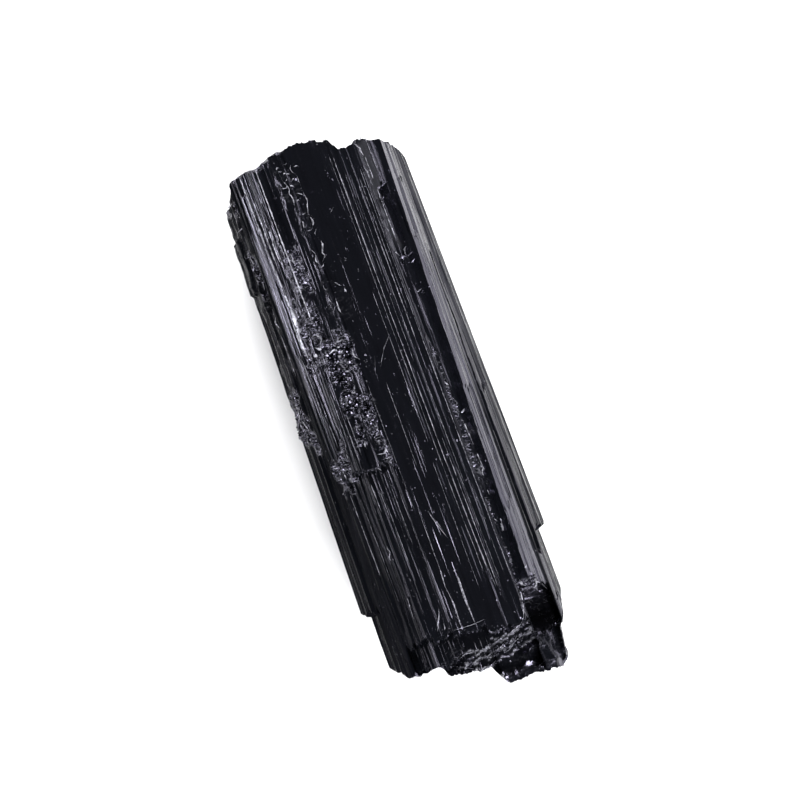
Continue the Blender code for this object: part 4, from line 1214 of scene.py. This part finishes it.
def stone_material():
    """Near-black glassy stone. Needles as thin as hairs lean to either side where it is striated, and
    grains lean any way where it is broken. Shade is painted by taking its shine away, and highlights are
    painted pale along creases and edges."""
    name = STONE_SLOT + "_skin"
    if name in bpy.data.materials:
        return bpy.data.materials[name]
    settings = bpy.context.scene.tourmaline_stone
    material = bpy.data.materials.new(name)
    material.use_nodes = True
    shader = material.node_tree.nodes["Principled BSDF"]
    shader.inputs["IOR"].default_value = settings.ior
    shader.inputs["Specular Tint"].default_value = (*settings.sheen_colour, 1.0)
    nodes = Nodes(material)
    link = material.node_tree.links.new

    broken, striated, weathered, worn = (nodes.share(share) for share in SHARES)
    grit = nodes.noise(*GRIT)
    specks = nodes.made("ShaderNodeMapRange", nodes.noise(*SPECKS), *SPECKS_RANGE)
    crumbly = nodes.made("ShaderNodeMath", broken, specks, operation="ADD", use_clamp=True)
    creased = nodes.made("ShaderNodeMath", nodes.noise(*CREASES), 0.5, operation="SUBTRACT")
    creased = nodes.made("ShaderNodeMath", creased, operation="ABSOLUTE")
    link(stone_normal(nodes, striated, crumbly, grit, creased), shader.inputs["Normal"])
    # Painted shade: the shine fades to none where the share of painted shade is full
    link(nodes.mixed("FLOAT", weathered, UNSHADED_SPECULAR, 0.0), shader.inputs["Specular IOR Level"])

    colour = nodes.mixed("RGBA", nodes.noise(*CLOUD), (*settings.darkest, 1.0), (*settings.lightest, 1.0))
    colour = nodes.mixed("RGBA", broken, colour, (*settings.broken_colour, 1.0))
    # Highlights painted along creases and edges, and a little dust, make the colour pale
    pale = nodes.made("ShaderNodeMath", painted_thread_highlights(nodes, crumbly, creased), worn, operation="MAXIMUM")
    colour = nodes.mixed("RGBA", pale, colour, (*settings.pale_colour, 1.0))
    link(colour, shader.inputs["Base Color"])
    gloss = nodes.mixed("FLOAT", grit, *(settings.gloss + spread for spread in GLOSS_SPREAD))
    dull = nodes.mixed("FLOAT", grit, *(settings.dullness + spread for spread in DULL_SPREAD))
    link(nodes.mixed("FLOAT", crumbly, gloss, dull), shader.inputs["Roughness"])
    return material


class StoneSettings(bpy.types.PropertyGroup):
    """Sizes and colours of the stone."""

    crumbs: bpy.props.IntProperty(
        name="Crumbs", description="How many loose crumbs stick to the broken patches", default=2600, min=0)
    ior: bpy.props.FloatProperty(
        name="Index of refraction", description="How strongly the stone mirrors its surroundings",
        default=1.65)
    gloss: bpy.props.FloatProperty(
        name="Gloss", description="Roughness of the sound faces", default=0.17, min=0, max=1)
    dullness: bpy.props.FloatProperty(
        name="Dullness", description="Roughness of the broken patches", default=0.20, min=0, max=1)
    darkest: bpy.props.FloatVectorProperty(
        name="Darkest", description="Darkest colour of the stone", subtype="COLOR",
        default=(0.0014, 0.0015, 0.0020))
    lightest: bpy.props.FloatVectorProperty(
        name="Lightest", description="Lightest colour of the stone", subtype="COLOR",
        default=(0.0034, 0.0038, 0.0055))
    broken_colour: bpy.props.FloatVectorProperty(
        name="Broken", description="Colour of broken stone", subtype="COLOR",
        default=(0.0060, 0.0063, 0.0085))
    # Colour of the highlights painted on edges and creases, and of dust
    pale_colour: bpy.props.FloatVectorProperty(
        name="Pale", description="Colour of worn and splintery edges", subtype="COLOR",
        default=(0.62, 0.62, 0.70))
    sheen_colour: bpy.props.FloatVectorProperty(
        name="Sheen", description="Colour of the highlights", subtype="COLOR", default=(0.79, 0.755, 1.0))


class StageSettings(bpy.types.PropertyGroup):
    """The floor, the lights and the camera."""

    floor_colour: bpy.props.FloatVectorProperty(
        name="Floor", description="Colour of the floor", subtype="COLOR", default=(0.90, 0.90, 0.91))
    floor_size: bpy.props.FloatProperty(
        name="Floor size", description="Side of the floor", default=1.2, unit="LENGTH")
    left_light: bpy.props.FloatProperty(
        name="Left strip", description="Brightness of the low strip on the left", default=34.0)
    right_light: bpy.props.FloatProperty(
        name="Right strip", description="Brightness of the low strip on the right", default=7.0)
    head_light: bpy.props.FloatProperty(
        name="Head light", description="Brightness of the light past the head", default=30.0)
    foot_light: bpy.props.FloatProperty(
        name="Foot light", description="Brightness of the light past the foot", default=30.0)
    room_light: bpy.props.FloatProperty(
        name="Room", description="Brightness of the room overhead", default=0.020)
    horizon_light: bpy.props.FloatProperty(
        name="Horizon", description="Brightness of the pale walls low round the stage", default=0.5)
    camera_distance: bpy.props.FloatProperty(
        name="Camera distance", description="From the camera to the crystal", default=0.90, unit="LENGTH")
    camera_turn: bpy.props.FloatProperty(
        name="Camera turn", description="How far the camera is turned about its line of sight",
        default=math.radians(-20.3), subtype="ANGLE")


class TOURMALINE_OT_crystal(bpy.types.Operator):
    """Build the crystal's skin in place of its solid"""

    bl_idname = "tourmaline.crystal"
    bl_label = "Crystal"

    def execute(self, context):
        points, shares, _ = crystal_grid()
        _, rows, columns = shares.shape
        poles = np.array([points[0].mean(axis=0), points[-1].mean(axis=0)])
        flat = np.concatenate([points.reshape(-1, 3), poles])
        shares = np.concatenate([shares.reshape(len(shares), -1), shares[:, [0, -1], 0]], axis=1)
        mesh = stone_mesh("tourmaline", flat, closed_faces(rows, columns), shares)
        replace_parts(add_piece(mesh), "crystal")
        return {"FINISHED"}


class TOURMALINE_OT_crumbs(bpy.types.Operator):
    """Scatter crumbs of stone over the broken patches"""

    bl_idname = "tourmaline.crumbs"
    bl_label = "Crumbs"

    def execute(self, context):
        count = context.scene.tourmaline_stone.crumbs
        points, shares, _ = crystal_grid()
        corners = crumb_points(np.random.default_rng(SEED + 1), points, shares[0], count)
        corners[..., 2] = np.maximum(corners[..., 2], 0.0)
        corners = corners.reshape(-1, 3)
        add_piece(stone_mesh("crumbs", corners, chip_faces(count), np.zeros((len(SHARES), len(corners)))))
        return {"FINISHED"}


class TOURMALINE_OT_lines(bpy.types.Operator):
    """Lay the thin edges along the skin, painted pale as highlights"""

    bl_idname = "tourmaline.lines"
    bl_label = "Lines"

    def execute(self, context):
        points, _, place = crystal_grid()
        rng = np.random.default_rng(SEED + 2)
        corners, faces, pale = [], [], []
        for lines, habit in ((LINES, LINE_HABIT), (CRACKS, CRACK_HABIT)):
            for line in lines:
                bar = line_points(rng, points[END_RINGS:-END_RINGS], place, line, *habit)
                faces += bar_faces(len(bar), 3 * sum(len(made) for made in corners))
                corners.append(bar)
                # Their paleness is a painted highlight
                pale.append(line.pale * rng.uniform(*PALE, (len(bar), 1)) * np.ones(3))
        worn = np.concatenate(pale).ravel()
        none = np.zeros(len(worn))
        flat = np.concatenate(corners).reshape(-1, 3)
        add_piece(stone_mesh("lines", flat, faces, (none + LINE_BROKEN, none, none, worn)))
        return {"FINISHED"}


def softbox(name, direction, distance, width, height, brightness):
    """A rectangular soft light at a distance in a direction from the crystal, facing it."""
    light = bpy.data.lights.new(name, "AREA")
    light.shape = "RECTANGLE"
    light.size = width
    light.size_y = height
    light.energy = brightness * math.pi * width * height
    lamp = bpy.data.objects.new(name, light)
    aim = Vector(direction).normalized()
    lamp.location = aim * distance
    lamp.rotation_euler = aim.to_track_quat("Z", "Y").to_euler()
    lamp.visible_camera = False
    bpy.context.scene.collection.objects.link(lamp)


def make_floor(settings):
    """A square matte floor under the crystal."""
    half = settings.floor_size / 2
    corners = [(-half, -half, 0), (half, -half, 0), (half, half, 0), (-half, half, 0)]
    mesh = bpy.data.meshes.new("floor")
    mesh.from_pydata(corners, [], [(0, 1, 2, 3)])
    paint = bpy.data.materials.new("floor_paint")
    paint.use_nodes = True
    shader = paint.node_tree.nodes["Principled BSDF"]
    shader.inputs["Base Color"].default_value = (*settings.floor_colour, 1.0)
    shader.inputs["Roughness"].default_value = FLOOR_ROUGHNESS
    shader.inputs["Specular IOR Level"].default_value = FLOOR_SPECULAR
    mesh.materials.append(paint)
    floor = bpy.data.objects.new("floor", mesh)
    bpy.context.scene.collection.objects.link(floor)


def make_room(settings):
    """Pale walls low round the stage and a dark ceiling. The camera sees plain white instead of them."""
    world = bpy.data.worlds.new("room")
    world.use_nodes = True
    bpy.context.scene.world = world
    nodes = world.node_tree.nodes
    link = world.node_tree.links.new
    height = nodes.new("ShaderNodeSeparateXYZ")
    link(nodes.new("ShaderNodeTexCoord").outputs["Generated"], height.inputs["Vector"])
    walls = nodes.new("ShaderNodeMapRange")
    walls.inputs["From Min"].default_value = WALL_TOP[0]
    walls.inputs["From Max"].default_value = WALL_TOP[1]
    walls.inputs["To Min"].default_value = settings.horizon_light
    walls.inputs["To Max"].default_value = settings.room_light
    link(height.outputs["Z"], walls.inputs["Value"])
    seen = nodes.new("ShaderNodeMix")
    link(nodes.new("ShaderNodeLightPath").outputs["Is Camera Ray"], seen.inputs["Factor"])
    link(walls.outputs["Result"], seen.inputs["A"])
    seen.inputs["B"].default_value = 1.0
    link(seen.outputs["Result"], nodes["Background"].inputs["Strength"])
    nodes["Background"].inputs["Color"].default_value = (1.0, 1.0, 1.0, 1.0)


def make_camera(settings):
    """A camera that looks straight down and is turned about its line of sight."""
    data = bpy.data.cameras.new("camera")
    data.lens = data.sensor_width * settings.camera_distance / SEEN_WIDTH
    camera = bpy.data.objects.new("camera", data)
    camera.location = Vector(LOOK_AT) + Vector((0, 0, settings.camera_distance))
    camera.rotation_euler = (0, 0, settings.camera_turn)
    bpy.context.scene.collection.objects.link(camera)
    bpy.context.scene.camera = camera


class TOURMALINE_OT_stage(bpy.types.Operator):
    """Make the floor, the lights and the camera"""

    bl_idname = "tourmaline.stage"
    bl_label = "Stage"

    def execute(self, context):
        settings = context.scene.tourmaline_stage
        make_floor(settings)
        for name, *placed in LIGHTS:
            softbox(name, *placed, getattr(settings, name))
        make_room(settings)
        make_camera(settings)
        context.scene.view_settings.view_transform = "Standard"
        return {"FINISHED"}


class TOURMALINE_PT_panel(bpy.types.Panel):
    """Lists the steps that build the crystal and its stage"""

    bl_idname = "TOURMALINE_PT_panel"
    bl_label = "Black tourmaline"
    bl_space_type = "VIEW_3D"
    bl_region_type = "UI"
    bl_category = "Tourmaline"

    def draw(self, context):
        layout = self.layout
        for settings in (context.scene.tourmaline_stone, context.scene.tourmaline_stage):
            for name in settings.__annotations__:
                layout.prop(settings, name)
        for operator in OPERATORS:
            layout.operator(operator.bl_idname)


OPERATORS = (TOURMALINE_OT_crystal, TOURMALINE_OT_crumbs, TOURMALINE_OT_lines, TOURMALINE_OT_stage)
CLASSES = (StoneSettings, StageSettings, *OPERATORS, TOURMALINE_PT_panel)


def register():
    for cls in CLASSES:
        bpy.utils.register_class(cls)
    bpy.types.Scene.tourmaline_stone = bpy.props.PointerProperty(type=StoneSettings)
    bpy.types.Scene.tourmaline_stage = bpy.props.PointerProperty(type=StageSettings)


def unregister():
    del bpy.types.Scene.tourmaline_stage
    del bpy.types.Scene.tourmaline_stone
    for cls in reversed(CLASSES):
        bpy.utils.unregister_class(cls)


def main():
    """Builds the crystal and its stage."""
    register()
    bpy.ops.tourmaline.crystal()
    bpy.ops.tourmaline.crumbs()
    bpy.ops.tourmaline.lines()
    bpy.ops.tourmaline.stage()
    bpy.context.view_layer.update()


if __name__ == "__main__":
    main()
